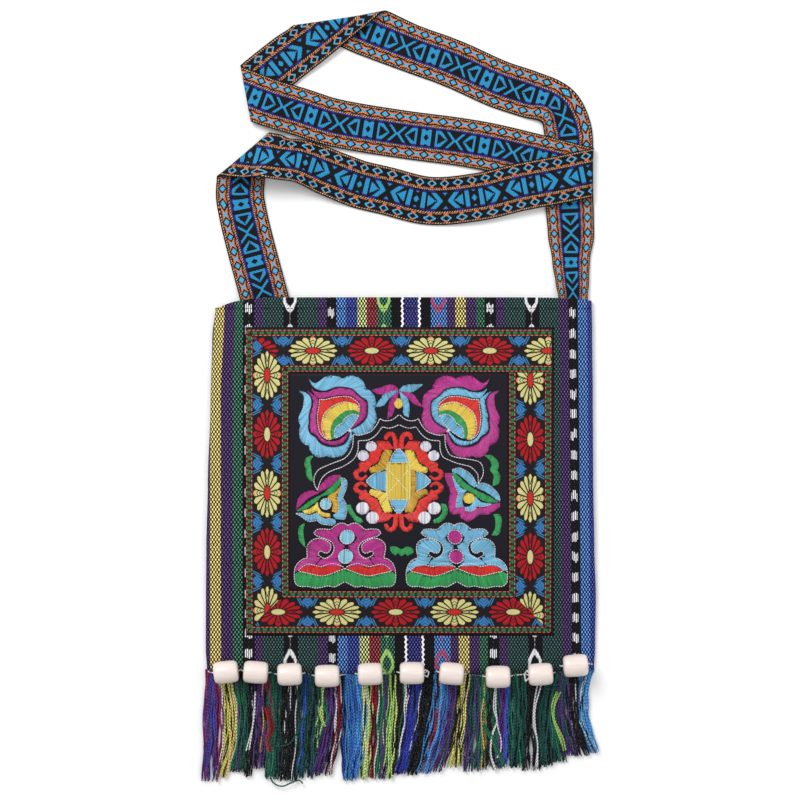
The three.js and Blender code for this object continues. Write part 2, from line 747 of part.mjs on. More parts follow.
function toSolid(geometry) {
  const bare = geometry.clone();
  bare.deleteAttribute("normal");
  bare.deleteAttribute("uv");
  const merged = mergeVertices(bare);
  return new wasm.Manifold(new wasm.Mesh({
    numProp: 3,
    vertProperties: new Float32Array(merged.getAttribute("position").array),
    triVerts: new Uint32Array(merged.index.array),
  }));
}

function toGeometry(solid) {
  const mesh = solid.getMesh();
  const geometry = new THREE.BufferGeometry();
  geometry.setAttribute("position", new THREE.BufferAttribute(mesh.vertProperties, 3));
  geometry.setIndex(new THREE.BufferAttribute(mesh.triVerts, 1));
  geometry.computeVertexNormals();
  return geometry;
}

function fringeGeometry() {
  let solid = toSolid(headGeometry());
  for (let k = 0; k < lockCount; k++) {
    solid = solid.add(toSolid(loftGeometry(lockRings(k))));
  }
  return toGeometry(solid);
}

// Materials and assembly

const fabric = (colour, roughness) =>
  new THREE.MeshStandardMaterial({ color: colour, roughness, metalness: 0 });
const clothMaterial = fabric(0x1f3a3c, 0.9);
const ribbonMaterial = fabric(0x8c2026, 0.75);
const satinMaterial = fabric(0x1c1a24, 0.6);
const strapMaterial = fabric(0x1f6f96, 0.75);
const threadMaterial = fabric(0xf2f0ea, 0.8);
const fringeMaterial = fabric(0x2c3452, 0.9);
const woodMaterial = fabric(0xeadfd2, 0.55);

const bag = new THREE.Group();

function addPiece(name, geometry, material) {
  const mesh = new THREE.Mesh(geometry, material);
  mesh.name = name;
  bag.add(mesh);
  return mesh;
}

addPiece("bag_body", bagGeometry(), clothMaterial);
addPiece("embroidered_panel", drapedPlate(panelCorners, 12, 12, panelThickness), satinMaterial);
for (const [name, corners] of Object.entries(ribbonLegs)) {
  addPiece(name, drapedPlate(corners, 18, 3, ribbonThickness), ribbonMaterial);
}
addPiece("shoulder_strap", strapGeometry(), strapMaterial);

beadPlaces.forEach(({ x, y, z, turn }, k) => {
  const bead = addPiece(`bead_${String(k + 1).padStart(2, "0")}`, beadGeometry(), woodMaterial);
  bead.position.set(x, y, z);
  bead.rotation.z = turn;
});
addPiece("bead_thread", threadGeometry(), threadMaterial);
addPiece("fringe", fringeGeometry(), fringeMaterial);

export default bag;
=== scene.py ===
# %% [markdown]
# # An embroidered shoulder bag, laid flat
# The object is a square cloth bag from a hill village, photographed from straight above. The packed
# model gives the frame: its solids say where each piece lies, and this lesson dresses them. Soft
# pieces are made anew over their solids, with real cloth thickness, and stand for them.

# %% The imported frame
from math import atan2, cos, hypot, pi, radians, sin

import bpy
import numpy as np
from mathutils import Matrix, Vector


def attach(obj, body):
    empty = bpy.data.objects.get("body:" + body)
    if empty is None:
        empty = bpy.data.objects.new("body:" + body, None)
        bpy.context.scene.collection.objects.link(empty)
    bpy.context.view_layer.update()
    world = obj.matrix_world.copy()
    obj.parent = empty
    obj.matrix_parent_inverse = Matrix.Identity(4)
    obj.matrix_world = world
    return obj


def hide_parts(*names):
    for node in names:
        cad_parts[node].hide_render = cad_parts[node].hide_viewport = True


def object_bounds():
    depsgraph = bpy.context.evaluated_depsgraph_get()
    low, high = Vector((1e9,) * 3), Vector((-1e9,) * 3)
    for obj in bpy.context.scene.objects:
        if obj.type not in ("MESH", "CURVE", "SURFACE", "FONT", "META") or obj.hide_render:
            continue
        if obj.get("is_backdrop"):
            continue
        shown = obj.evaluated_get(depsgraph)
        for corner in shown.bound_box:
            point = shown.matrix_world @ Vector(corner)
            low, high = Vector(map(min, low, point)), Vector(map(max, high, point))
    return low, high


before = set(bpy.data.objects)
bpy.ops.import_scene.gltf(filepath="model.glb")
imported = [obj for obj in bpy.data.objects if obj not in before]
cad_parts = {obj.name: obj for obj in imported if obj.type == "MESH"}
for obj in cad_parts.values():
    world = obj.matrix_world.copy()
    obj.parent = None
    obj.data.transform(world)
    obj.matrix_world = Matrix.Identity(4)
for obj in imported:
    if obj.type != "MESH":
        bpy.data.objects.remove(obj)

cad_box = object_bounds()
print("solids:", len(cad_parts), "box in metres:", cad_box)

# %% [markdown]
# ## Sizes
# A sewn bag is planned in millimetres, so the sizes are written in millimetres and turned into
# metres when a mesh is made. They repeat the driving sizes of the solids, because each cloth piece
# has to lie exactly where its solid lies.

# %% Sizes of the bag, its trim and the photograph
MM = 0.001
BAG_WIDTH, BAG_HEIGHT = 272.0, 260.0
CLOTH = 1.2
CROWN_GAP, SIDE_GAP, SEAM_GAP = 12.0, 3.0, 1.0
HEM_DEPTH, HEM_SAG = 8.0, 3.0
DENT_DEPTH = 0.7
LEFT_DROP, RIGHT_DROP = 7.0, 2.0
HALF_BAG = BAG_WIDTH / 2
HEM_UP = HEM_DEPTH / BAG_HEIGHT
SEAT = 0.3

RIBBON_WIDTH, RIBBON_THICK, PANEL_THICK = 30.0, 1.0, 1.0
FRAME_WIDTH, FRAME_HEIGHT = 213.0, 212.0
FRAME_RIGHT, FRAME_UP = -0.9, 2.0
FRAME_LEFT, FRAME_RIGHT_EDGE = FRAME_RIGHT - FRAME_WIDTH / 2, FRAME_RIGHT + FRAME_WIDTH / 2
FRAME_BOTTOM, FRAME_TOP = FRAME_UP - FRAME_HEIGHT / 2, FRAME_UP + FRAME_HEIGHT / 2
JOIN = SEAT / 2

PHOTO_MM = 560.0
PHOTO_MIDDLE_UP = 58.85

# %% [markdown]
# ## Camera and light
# The photograph looks straight down with a long lens, under soft light from all sides, on a white
# sheet. A long lens keeps the strap's folds from leaning outwards. Two large soft lamps from the
# upper left and right give the weave and the stitches a little shade without a hard shadow.

# %% Camera, lamps and the white sheet
LENS, SENSOR = 135.0, 36.0
HEIGHT_OF_CAMERA = PHOTO_MM * LENS / SENSOR
LAMP_AIM = Vector((0, 0.06, 0))
PAPER_WHITE = (0.93, 0.93, 0.93, 1.0)
SHEET_HALF, SHEET_LEVEL = 1.6, -0.0003


def new_object(name, data):
    """Puts an object with this data into the scene."""
    thing = bpy.data.objects.new(name, data)
    bpy.context.scene.collection.objects.link(thing)
    return thing


def new_material(name, roughness, gloss=0.5):
    """A material, with its node tree and its shader."""
    material = bpy.data.materials.new(name)
    material.use_nodes = True
    shader = material.node_tree.nodes["Principled BSDF"]
    shader.inputs["Roughness"].default_value = roughness
    shader.inputs["Specular IOR Level"].default_value = gloss
    return material, material.node_tree, shader


def photo_camera():
    data = bpy.data.cameras.new("photo_camera")
    data.lens, data.sensor_width = LENS, SENSOR
    camera = new_object("photo_camera", data)
    camera.location = (0, PHOTO_MIDDLE_UP * MM, HEIGHT_OF_CAMERA * MM)
    bpy.context.scene.camera = camera


def soft_lamp(name, place, power, size):
    data = bpy.data.lights.new(name, "AREA")
    data.energy, data.size = power, size
    lamp = new_object(name, data)
    lamp.location = place
    lamp.rotation_euler = (LAMP_AIM - Vector(place)).to_track_quat("-Z", "Y").to_euler()


def soft_sky(strength):
    world = bpy.data.worlds.new("soft_studio")
    world.use_nodes = True
    sky = world.node_tree.nodes["Background"]
    sky.inputs["Color"].default_value = (1.0, 1.0, 1.0, 1.0)
    sky.inputs["Strength"].default_value = strength
    bpy.context.scene.world = world


def white_sheet():
    mesh = bpy.data.meshes.new("white_sheet")
    turns = ((-1, -1), (1, -1), (1, 1), (-1, 1))
    mesh.from_pydata([(x * SHEET_HALF, y * SHEET_HALF, SHEET_LEVEL) for x, y in turns], [], [(0, 1, 2, 3)])
    paper, _, shader = new_material("white_paper", 0.9)
    shader.inputs["Base Color"].default_value = PAPER_WHITE
    mesh.materials.append(paper)
    sheet = new_object("white_sheet", mesh)
    sheet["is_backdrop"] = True


photo_camera()
soft_lamp("lamp_upper_left", (-0.8, 1.1, 1.4), 24.0, 0.9)
soft_lamp("lamp_right", (1.1, 0.3, 1.4), 8.0, 1.4)
soft_sky(0.6)
white_sheet()
bpy.context.scene.view_settings.view_transform = "Standard"
print("camera stands", round(HEIGHT_OF_CAMERA), "mm above the sheet")

# %% [markdown]
# ## Arithmetic with wires
# Woven patterns are sums: so many threads of one colour, then so many of the next. A small class
# lets a sum be written as a sum, and adds a Math node for each step. The patterns stay readable,
# and sharp at any distance, because no picture is involved.


# %% The wire class and a few words for it
class Wire:
    """A number that flows between nodes. Arithmetic on it adds Math nodes to its tree."""

    def __init__(self, socket):
        self.socket = socket

    def through(self, operation, *others, clamp=False):
        node = self.socket.id_data.nodes.new("ShaderNodeMath")
        node.operation, node.use_clamp = operation, clamp
        for slot, value in zip(node.inputs, (self, *others)):
            feed(slot, value)
        return Wire(node.outputs[0])

    def __add__(self, other): return self.through("ADD", other)
    def __sub__(self, other): return self.through("SUBTRACT", other)
    def __mul__(self, other): return self.through("MULTIPLY", other)
    def __truediv__(self, other): return self.through("DIVIDE", other)
    def __radd__(self, other): return self.through("ADD", other)
    def __rsub__(self, other): return self.through("MULTIPLY_ADD", -1.0, other)
    def __abs__(self): return self.through("ABSOLUTE")


def feed(slot, value):
    """Gives a node's input what it needs: a wire, a socket or a plain value."""
    value = value.socket if isinstance(value, Wire) else value
    if isinstance(value, bpy.types.NodeSocket):
        slot.id_data.links.new(value, slot)
    else:
        slot.default_value = value


def least(first, *others):
    for other in others:
        first = first.through("MINIMUM", other)
    return first


def most(first, *others):
    for other in others:
        first = first.through("MAXIMUM", other)
    return first


def between(value, low, high):
    """How far value is inside the band from low to high. It is negative outside."""
    return least(value - low, high - value)


def edge(depth, blur=0.1):
    """A mask from a depth: 0 outside, 1 inside, with an edge of that width."""
    return depth.through("MULTIPLY_ADD", 1.0 / blur, 0.5, clamp=True)


def threads(value, pitch):
    """Steps a distance to the middles of threads, so that a pattern gets woven edges."""
    return (value / pitch).through("FLOOR") * pitch + pitch / 2


def repeat(value, period):
    """The distance from the nearest of marks that stand a period apart."""
    return value.through("WRAP", period / 2, -period / 2)


def wave(value, period):
    return (value * (2 * pi / period)).through("COSINE")


def colour(red, green, blue):
    """A colour as a screen shows it, from 0 to 255, as linear light."""
    def linear(part):
        share = part / 255
        return share / 12.92 if share <= 0.04045 else ((share + 0.055) / 1.055) ** 2.4
    return (linear(red), linear(green), linear(blue), 1.0)


# %% Words for shader groups and materials
PURE_WHITE = (1.0, 1.0, 1.0, 1.0)
CLOTH_GLOSS, CLOTH_SHEEN = 0.12, 0.02


def new_group(name, inputs, outputs):
    """An empty shader group, with what flows in and the slots for what flows out."""
    tree = bpy.data.node_groups.new(name, "ShaderNodeTree")
    for title in inputs:
        tree.interface.new_socket(title, in_out="INPUT", socket_type="NodeSocketFloat")
    for title in outputs:
        kind = "NodeSocketColor" if title == "Colour" else "NodeSocketFloat"
        tree.interface.new_socket(title, in_out="OUTPUT", socket_type=kind)
    given = tree.nodes.new("NodeGroupInput").outputs
    return tree, [Wire(given[title]) for title in inputs], tree.nodes.new("NodeGroupOutput").inputs


def lay_group(tree, group, **wires):
    node = tree.nodes.new("ShaderNodeGroup")
    node.node_tree = group
    for title, value in wires.items():
        feed(node.inputs[title], value)
    return node.outputs


def paint(under, mask, over):
    """Lays one colour over another where the mask is 1. Either is a socket or a plain colour."""
    node = mask.socket.id_data.nodes.new("ShaderNodeMix")
    node.data_type = "RGBA"
    for number, value in ((0, mask), (6, under), (7, over)):
        feed(node.inputs[number], value)
    return node.outputs[2]


def speckle(vector, scale, detail=2.0):
    """Fine random variation, about 0.5 on average."""
    noise = vector.id_data.nodes.new("ShaderNodeTexNoise")
    for title, value in (("Scale", scale), ("Detail", detail), ("Vector", vector)):
        feed(noise.inputs[title], value)
    return Wire(noise.outputs["Fac"])


def place_vector(along, across):
    """Joins two wires to a place on the cloth."""
    node = along.socket.id_data.nodes.new("ShaderNodeCombineXYZ")
    feed(node.inputs["X"], along)
    feed(node.inputs["Y"], across)
    return node.outputs[0]


def dress(shader, tone, height, depth):
    """Gives a shader its colour, and a surface that is so many millimetres deep."""
    bump = shader.id_data.nodes.new("ShaderNodeBump")
    feed(bump.inputs["Distance"], depth * MM)
    feed(bump.inputs["Height"], height)
    feed(shader.inputs["Base Color"], tone)
    feed(shader.inputs["Normal"], bump.outputs[0])


def cloth_material(name, weave, roughness, depth):
    """A cloth from a weave, which turns a place in millimetres into a colour and a height.

    Dyed yarn throws back little white light, so the gloss is low and black stays black."""
    group, (along, across), sink = new_group(name, ["Along", "Across"], ["Colour", "Height"])
    for title, value in zip(("Colour", "Height"), weave(along, across)):
        feed(sink[title], value)
    material, tree, shader = new_material(name, roughness, CLOTH_GLOSS)
    feed(shader.inputs["Sheen Weight"], CLOTH_SHEEN)
    places = tree.nodes.new("ShaderNodeUVMap")
    places.uv_map = "cloth_mm"
    parts = tree.nodes.new("ShaderNodeSeparateXYZ")
    feed(parts.inputs[0], places.outputs[0])
    pattern = lay_group(tree, group, Along=parts.outputs["X"], Across=parts.outputs["Y"])
    dress(shader, pattern["Colour"], pattern["Height"], depth)
    return material


# %% Words for meshes
def make_mesh(name, points, faces, uv=None, material=None):
    """A mesh object from points in millimetres. uv holds one pair for each point."""
    mesh = bpy.data.meshes.new(name)
    mesh.from_pydata((np.asarray(points) * MM).tolist(), [], faces)
    if uv is not None:
        layer = mesh.uv_layers.new(name="cloth_mm")
        corners = np.empty(len(mesh.loops), dtype=np.int32)
        mesh.loops.foreach_get("vertex_index", corners)
        layer.data.foreach_set("uv", np.asarray(uv, dtype=np.float32)[corners].ravel())
    mesh.polygons.foreach_set("use_smooth", [True] * len(mesh.polygons))
    mesh.materials.append(material)
    mesh.validate()
    return new_object(name, mesh)


def grid_faces(rows, columns, start=0, turned=False):
    """The quads of a grid of points that are numbered row by row."""
    i, j = np.meshgrid(np.arange(rows - 1), np.arange(columns - 1), indexing="ij")
    a = (start + i * columns + j).ravel()
    quads = np.stack([a, a + 1, a + columns + 1, a + columns], axis=1)
    return (quads[:, ::-1] if turned else quads).tolist()


def cloth_sheet(name, upper, lower, uv, material, under=None):
    """A closed sheet between two grids of points. The lower face may have its own material."""
    rows, columns = upper.shape[:2]
    count = rows * columns
    points = np.concatenate([upper.reshape(-1, 3), lower.reshape(-1, 3)])
    normal = np.cross(upper[0, 1] - upper[0, 0], upper[1, 0] - upper[0, 0])
    lies_up = float(np.dot(normal, upper[0, 0] - lower[0, 0])) > 0
    faces = grid_faces(rows, columns, 0, not lies_up) + grid_faces(rows, columns, count, lies_up)
    rim = [i * columns for i in range(rows)]
    rim += [(rows - 1) * columns + j for j in range(1, columns)]
    rim += [i * columns + columns - 1 for i in range(rows - 2, -1, -1)]
    rim += [j for j in range(columns - 2, 0, -1)]
    for a, b in zip(rim, rim[1:] + rim[:1]):
        faces.append([a, b, b + count, a + count] if lies_up else [b, a, a + count, b + count])
    piece = make_mesh(name, points, faces, np.concatenate([uv, uv]).reshape(-1, 2), material=material)
    if under is not None:
        piece.data.materials.append(under)
        slots = np.zeros(len(piece.data.polygons), dtype=np.int32)
        top = (rows - 1) * (columns - 1)
        slots[top:2 * top] = 1
        piece.data.polygons.foreach_set("material_index", slots)
    return piece


def finish_piece(piece, slot, *nodes):
    """Puts a piece on the bag's one body, in place of its solids. Its slot is not used."""
    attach(piece, "root")
    if nodes:
        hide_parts(*nodes)
    print(piece.name, sum(len(p.vertices) - 2 for p in piece.data.polygons), "triangles")


# %% [markdown]
# ## The form of the stuffed flat bag
# The bag is two walls of cloth that lie almost flat, with round folds at the sides and a slight
# fullness in the middle. The same sums give the front's height everywhere, so the trim can be laid
# on it, just as the solids were made.

# %% Heights and outline of the bag
CORNER_POWER, CROWN_POWER = 10, 2.6
FULL_RISE, MOUTH_SLACK = 0.38, 0.22
# up the side, reach of the left side, reach of the right side, as shares of half the width
SIDES = np.array([
    (0.0, 0.993, 0.998), (0.06, 0.999, 1.003), (0.2, 0.998, 1.007), (0.33, 0.996, 0.999),
    (0.52, 0.988, 0.993), (0.73, 0.974, 0.991), (0.92, 0.965, 0.988), (1.0, 0.949, 0.985)])


def mix(a, b, share):
    return a + (b - a) * share


def smooth(value):
    t = np.clip(value, 0.0, 1.0)
    return t * t * (3 - 2 * t)


def side_reach(column, up):
    i = np.clip(np.searchsorted(SIDES[:, 0], up, side="right") - 1, 0, len(SIDES) - 2)
    t = smooth((up - SIDES[i, 0]) / (SIDES[i + 1, 0] - SIDES[i, 0]))
    return HALF_BAG * mix(SIDES[i, column], SIDES[i + 1, column], t)


def hem_y(across):
    return -BAG_HEIGHT / 2 - HEM_SAG * (1 - across ** 2)


def mouth_y(across):
    drop = np.where(across < 0, LEFT_DROP, RIGHT_DROP)
    return BAG_HEIGHT / 2 - drop * np.abs(across) ** CORNER_POWER


def gap_at(across, up):
    full = SIDE_GAP + (CROWN_GAP - SIDE_GAP) * (1 - np.abs(across) ** CROWN_POWER)
    rise = smooth((up - HEM_UP) / FULL_RISE)
    slack = 1 - MOUTH_SLACK * smooth((up - 0.7) / 0.3) * (1 - across ** 2)
    dent = np.sin(2.6 * pi * across + 1) * np.sin(1.9 * pi * up + 0.4)
    dented = DENT_DEPTH * dent * rise * (1 - across ** 2)
    return mix(SEAM_GAP, full * slack + dented, rise)


def closed_at(up):
    return np.minimum(up / HEM_UP, 1.0)


def section_at(up):
    """The middle of the bag at a height, and half its width between the round side folds."""
    left, right = -side_reach(1, up), side_reach(2, up)
    fold = CLOTH + gap_at(np.ones_like(up), up) * closed_at(up) / 2
    return (left + right) / 2, (right - left) / 2 - fold, fold


def front_height(x, y):
    """The height of the front above a place on the page, in millimetres."""
    x, y = np.asarray(x, dtype=float), np.asarray(y, dtype=float)
    across = x / HALF_BAG
    for _ in range(4):
        up = np.clip((y - hem_y(across)) / (mouth_y(across) - hem_y(across)), 0.0, 1.0)
        centre, half, _fold = section_at(up)
        across = (x - centre) / half
    across = np.clip(across, -1.0, 1.0)
    return 2 * CLOTH + gap_at(across, up) * closed_at(up)


print("front is", round(float(front_height(0, 0)), 1), "mm high in the middle")

# %% [markdown]
# ## Striped hand-loom cloth
# The warp carries the stripes: 22 of them in a repeat of 168 mm, in floats that pass over and under
# a black weft, so that small black lozenges show between them. In five of the stripes the yarn was
# tied and dyed before weaving, which leaves rings with feathered ends. A colour ramp holds the
# stripes. The rings and the lozenges are sums of the places along and across the cloth.

# %% Yarn colours
YELLOW, CREAM, LIME = colour(246, 226, 128), colour(222, 233, 150), colour(170, 214, 104)
PURPLE, GREEN, PINE = colour(80, 38, 114), colour(38, 120, 88), colour(22, 80, 76)
SKY, ROYAL, INDIGO = colour(88, 150, 236), colour(48, 72, 184), colour(46, 46, 150)
RED, BLACK, WHITE = colour(172, 24, 48), colour(16, 15, 19), colour(246, 246, 252)

# each warp stripe of the repeat, with its width in millimetres
STRIPES = (
    (PURPLE, 6.9), (GREEN, 6.1), (BLACK, 7.7), (PURPLE, 6.1), (PINE, 14.2), (BLACK, 9.6),
    (PINE, 14.1), (PURPLE, 6.5), (BLACK, 6.5), (SKY, 6.7), (ROYAL, 7.6), (CREAM, 7.1), (RED, 7.2),
    (GREEN, 9.5), (BLACK, 7.1), (BLACK, 2.3), (INDIGO, 9.4), (BLACK, 2.5), (BLACK, 6.7),
    (SKY, 10.7), (PURPLE, 6.1), (YELLOW, 7.6))
STRIPE_EDGES = np.concatenate([[0.0], np.cumsum([width for _, width in STRIPES])])
STRIPE_REPEAT = float(STRIPE_EDGES[-1])
STRIPE_START = -122.5


def stripe_middle(number):
    return STRIPE_START + float(STRIPE_EDGES[number] + STRIPE_EDGES[number + 1]) / 2


# %% The group for tied and dyed rings
RING_PITCH, RING_TOP = 28.35, 111.7
SPECK_PITCH, SPECK_TOP = 14.17, 126.7

# half widths as shares of the stripe's, at shares of the pitch down the warp
RING_OUTSIDE = (
    (0, 0), (0.005, 0.2), (0.1, 0.5), (0.28, 0.98), (0.45, 0.98), (0.62, 0.55), (0.71, 0.14), (0.72, 0),
    (1, 0))
RING_HOLE = ((0, 0), (0.13, 0.0), (0.26, 0.5), (0.36, 0.62), (0.46, 0.55), (0.58, 0.0), (1, 0))
SPECK = ((0, 0), (0.08, 0.0), (0.1, 0.62), (0.5, 0.62), (0.53, 0.0), (1, 0))


def profile(value, points):
    """Reads a drawn curve: the half width of a motif along its length."""
    node = value.socket.id_data.nodes.new("ShaderNodeFloatCurve")
    curve = node.mapping.curves[0]
    for spot, (x, y) in zip(curve.points, (points[0], points[-1])):
        spot.location = (x, y)
    for x, y in points[1:-1]:
        curve.points.new(x, y)
    for spot in curve.points:
        spot.handle_type = "VECTOR"
    node.mapping.update()
    feed(node.inputs["Value"], value)
    return Wire(node.outputs[0])


def tied_yarn_group(name, pitch, outer, inner=None, yarn_pitch=0.55, ragged=0.09, full=0.44):
    """A mask of motifs down the middle of a stripe, from their half widths along the warp.

    Each group of yarns has slipped a little before weaving, so its end is at its own height."""
    tree, (place, up, half, top), sink = new_group(name, ["Aside", "Up", "Half", "Top"], ["Mask"])
    aside = abs(place) / half
    yarn = threads(place, yarn_pitch)
    down = (top - up) / pitch
    number = (down + 0.2).through("FLOOR")
    slip = speckle(place_vector(yarn * 3.7, number * 5.3), 1.0, 0.0) - 0.5
    share = (down + slip * ragged).through("FRACT")
    motif = profile(share, outer) - aside
    if inner is not None:
        motif = least(motif, aside - profile(share, inner))
    between_yarns = full - abs(place - yarn) / yarn_pitch
    feed(sink["Mask"], edge(motif, 0.16) * edge(between_yarns, 0.2))
    return tree


ring_group = tied_yarn_group("TiedRings", RING_PITCH, RING_OUTSIDE, RING_HOLE)
speck_group = tied_yarn_group("TiedSpecks", SPECK_PITCH, SPECK, yarn_pitch=1.3, ragged=0.34, full=0.3)

# %% The weave of the whole striped cloth
LOZENGE_WIDE, LOZENGE_TALL = 2.15, 3.5
MOUTH_SEAM, SEAM_STITCH = 122.6, 2.6
WEFT_SHADE = colour(12, 11, 17)

# the stripes with tied yarn: which one, its motif, the height of the first and its dye
TIED_STRIPES = (
    (5, ring_group, RING_TOP, WHITE), (13, ring_group, RING_TOP, LIME), (19, ring_group, RING_TOP, RED),
    (2, speck_group, SPECK_TOP, WHITE), (8, speck_group, SPECK_TOP - 3.0, WHITE))
CORDED_STRIPES = (15, 17)


def stripe_ramp(share):
    """The yarn colour at a share of the repeat."""
    ramp = share.socket.id_data.nodes.new("ShaderNodeValToRGB")
    ramp.color_ramp.interpolation = "CONSTANT"
    stops = ramp.color_ramp.elements
    for number, (yarn, _) in enumerate(STRIPES):
        place = float(STRIPE_EDGES[number]) / STRIPE_REPEAT
        stop = stops[number] if number < 2 else stops.new(place)
        stop.position, stop.color = place, yarn
    feed(ramp.inputs["Fac"], share)
    return ramp.outputs["Color"]


def brightness(tone):
    node = tone.id_data.nodes.new("ShaderNodeRGBToBW")
    feed(node.inputs["Color"], tone)
    return Wire(node.outputs["Val"])


def striped_weave(along, up):
    """Stripes, then tied motifs and corded edges, then painted highlight, the weft's holes and the mouth's
    seam.
    """
    spot = place_vector(along, up)
    wander = speckle(spot, 0.35) - 0.5
    warp = along + wander * 0.5
    dyed, floated = stripe_ramp(((warp - STRIPE_START) / STRIPE_REPEAT).through("FRACT")), 0.0
    for number, group, top, tint in TIED_STRIPES:
        aside, half = repeat(warp - stripe_middle(number), STRIPE_REPEAT), STRIPES[number][1] / 2
        motif = lay_group(spot.id_data, group, Aside=aside, Up=up, Half=half, Top=top)
        mask = Wire(motif["Mask"]) * (half - abs(aside)).through("GREATER_THAN", 0.0)
        dyed, floated = paint(dyed, mask, tint), mask + floated
    for number in CORDED_STRIPES:
        aside = repeat(warp - stripe_middle(number), STRIPE_REPEAT)
        zigzag = abs(repeat(up, LOZENGE_TALL)) * 0.6 - 0.5
        mask = edge(0.72 - abs(aside + zigzag), 0.2)
        dyed, floated = paint(dyed, mask, WHITE), mask + floated
    lozenge = wave(along + wander * 0.7, LOZENGE_WIDE) * wave(up + wander * 0.5, LOZENGE_TALL)
    hole = edge(lozenge + 0.12 + wander * 0.2, 0.32) * (1.0 - floated * 0.88)
    fleck = speckle(spot, 1.7, 1.0)
    # Painted highlight: white is mixed into the middle of each float, less of it on dark yarn.
    highlight_strength = least(brightness(dyed) * 20.0, 1.0) * 0.3
    with_painted_highlight = paint(dyed, edge(lozenge * -1.0 - 0.45, 0.6) * (fleck - 0.2) * highlight_strength, PURE_WHITE)
    seam = least(0.32 - abs(up - MOUTH_SEAM), 0.9 - abs(repeat(along, SEAM_STITCH)))
    woven = paint(paint(with_painted_highlight, hole * 0.97, WEFT_SHADE), edge(seam, 0.2) * 0.85, BLACK)
    return woven, (1.0 - hole) * 0.8 + fleck * 0.2


striped_material = cloth_material("striped_hand_loom_cloth", striped_weave, 0.85, 0.35)
print("stripe repeat:", round(STRIPE_REPEAT, 1), "mm")

# %% The bag's cloth as one closed hollow skin
BAG_COLUMNS, BAG_ROWS, INNER_ROWS, FOLD_STEPS, RIM_STEPS = 132, 126, 34, 8, 4
STRIPE_LEAN, DRAWN_IN, FOLD_HEIGHT = 2.9, 3.0, 0.3


def stripe_place(x, up):
    """The stripes lean: they stand 3 mm further right at the hem than at the mouth."""
    lean = STRIPE_LEAN * smooth((x + 73) / 84) * (1 - up)
    drawn_in = DRAWN_IN * smooth((-102 - x) / 30) * smooth((1 - up) / 0.25)
    return x - lean + drawn_in


def slack_folds(x, y):
    """Low soft waves in the cloth between the trim and the sides."""
    outside = np.maximum(FRAME_LEFT - x, x - FRAME_RIGHT_EDGE)
    bare = smooth((outside - 3.0) / 9.0) * smooth((y + 112) / 20) * smooth((122 - y) / 12)
    return bare * FOLD_HEIGHT * (np.sin(y / 9.0 + x / 21.0) + np.sin(y / 15.5 - x / 13.0 + 2.0))


def bag_turn(up, inset):
    """One turn round the bag at a height, as points and places on the cloth."""
    level = np.full(BAG_COLUMNS + 1, up)
    centre, half, fold = (float(v[0]) for v in section_at(level))
    closed = float(closed_at(np.array(up)))
    across = np.linspace(-1, 1, BAG_COLUMNS + 1)
    height = lambda a: mix(hem_y(a), mouth_y(a), up)
    top = 2 * CLOTH + gap_at(across, level) * closed - inset
    x = centre + across * half
    y = height(across)
    radius = fold - inset
    turn = np.linspace(-pi / 2, pi / 2, FOLD_STEPS + 1)[1:-1]

    def side_fold(side):
        out = centre + side * (half + radius * np.cos(turn))
        return np.stack([out, np.full_like(turn, height(float(side))),
                         fold + side * radius * np.sin(turn)], axis=1)

    right, left = side_fold(1), side_fold(-1)
    under = np.stack([x, y, np.full_like(x, inset)], axis=1)
    over = np.stack([x, y, top + slack_folds(x, y) * (inset == 0)], axis=1)[::-1]
    points = np.concatenate([under, right, over, left])
    stripes = stripe_place(x, up)
    far = stripes[-1] + fold * pi
    beside = stripes[-1] + fold * (pi / 2 - turn)
    before = stripes[0] - fold * (turn + pi / 2)
    return points, np.concatenate([far + (x[-1] - x), beside, stripes[::-1], before])


def bag_skin():
    """The turns go up outside, over the rim of the mouth and down again inside."""
    outer = np.concatenate([[0.0, HEM_UP / 2], np.linspace(HEM_UP, 1.0, BAG_ROWS - 1)])
    turns = [(up, 0.0, 0.0) for up in outer]
    for angle in np.linspace(0, pi, RIM_STEPS + 1)[1:-1]:
        turns.append((1.0, CLOTH * (1 - cos(angle)) / 2, 0.35 * CLOTH * sin(angle)))
    turns += [(up, CLOTH, 0.0) for up in np.linspace(1.0, HEM_UP, INNER_ROWS)]
    points, uv = [], []
    for up, inset, proud in turns:
        spots, places = bag_turn(up, inset)
        spots[:, 1] += proud
        points.append(spots)
        uv.append(np.stack([places, spots[:, 1]], axis=1))
    turn = len(points[0])
    faces = []
    for k in range(len(points) - 1):
        a = k * turn + np.arange(turn)
        b = k * turn + (np.arange(turn) + 1) % turn
        faces += np.stack([a, b, b + turn, a + turn], axis=1).tolist()
    for start, forward in ((0, False), ((len(points) - 1) * turn, True)):
        faces += end_strip(start, turn, forward)
    return np.concatenate(points), faces, np.concatenate(uv)


def end_strip(start, turn, forward):
    """Closes a turn of the bag between its back and its front."""
    front = lambda i: start + 2 * BAG_COLUMNS + FOLD_STEPS - i
    loops = [[start + i, start + i + 1, front(i + 1), front(i)] for i in range(BAG_COLUMNS)]
    loops.append([start + BAG_COLUMNS + k for k in range(FOLD_STEPS + 1)])
    loops.append([front(0) + k for k in range(FOLD_STEPS)] + [start])
    return loops if forward else [face[::-1] for face in loops]


striped_cloth = make_mesh("striped_cloth", *bag_skin(), material=striped_material)
finish_piece(striped_cloth, "striped_cloth", "bag_body")

# %% [markdown]
# ## Black satin panel and its backing
# The embroidery stands on black satin, and a black cloth shows as a thin rim round the ribbon. Both
# are laid on the front: each point takes the front's height below it. The satin's weave is too fine
# to see, so it is only a soft grain: a bump, and a painted sheen that lightens the colour.

# %% The satin and the cloths laid on the front
SATIN_DARK, SATIN_SHEEN = colour(19, 16, 25), colour(40, 36, 48)


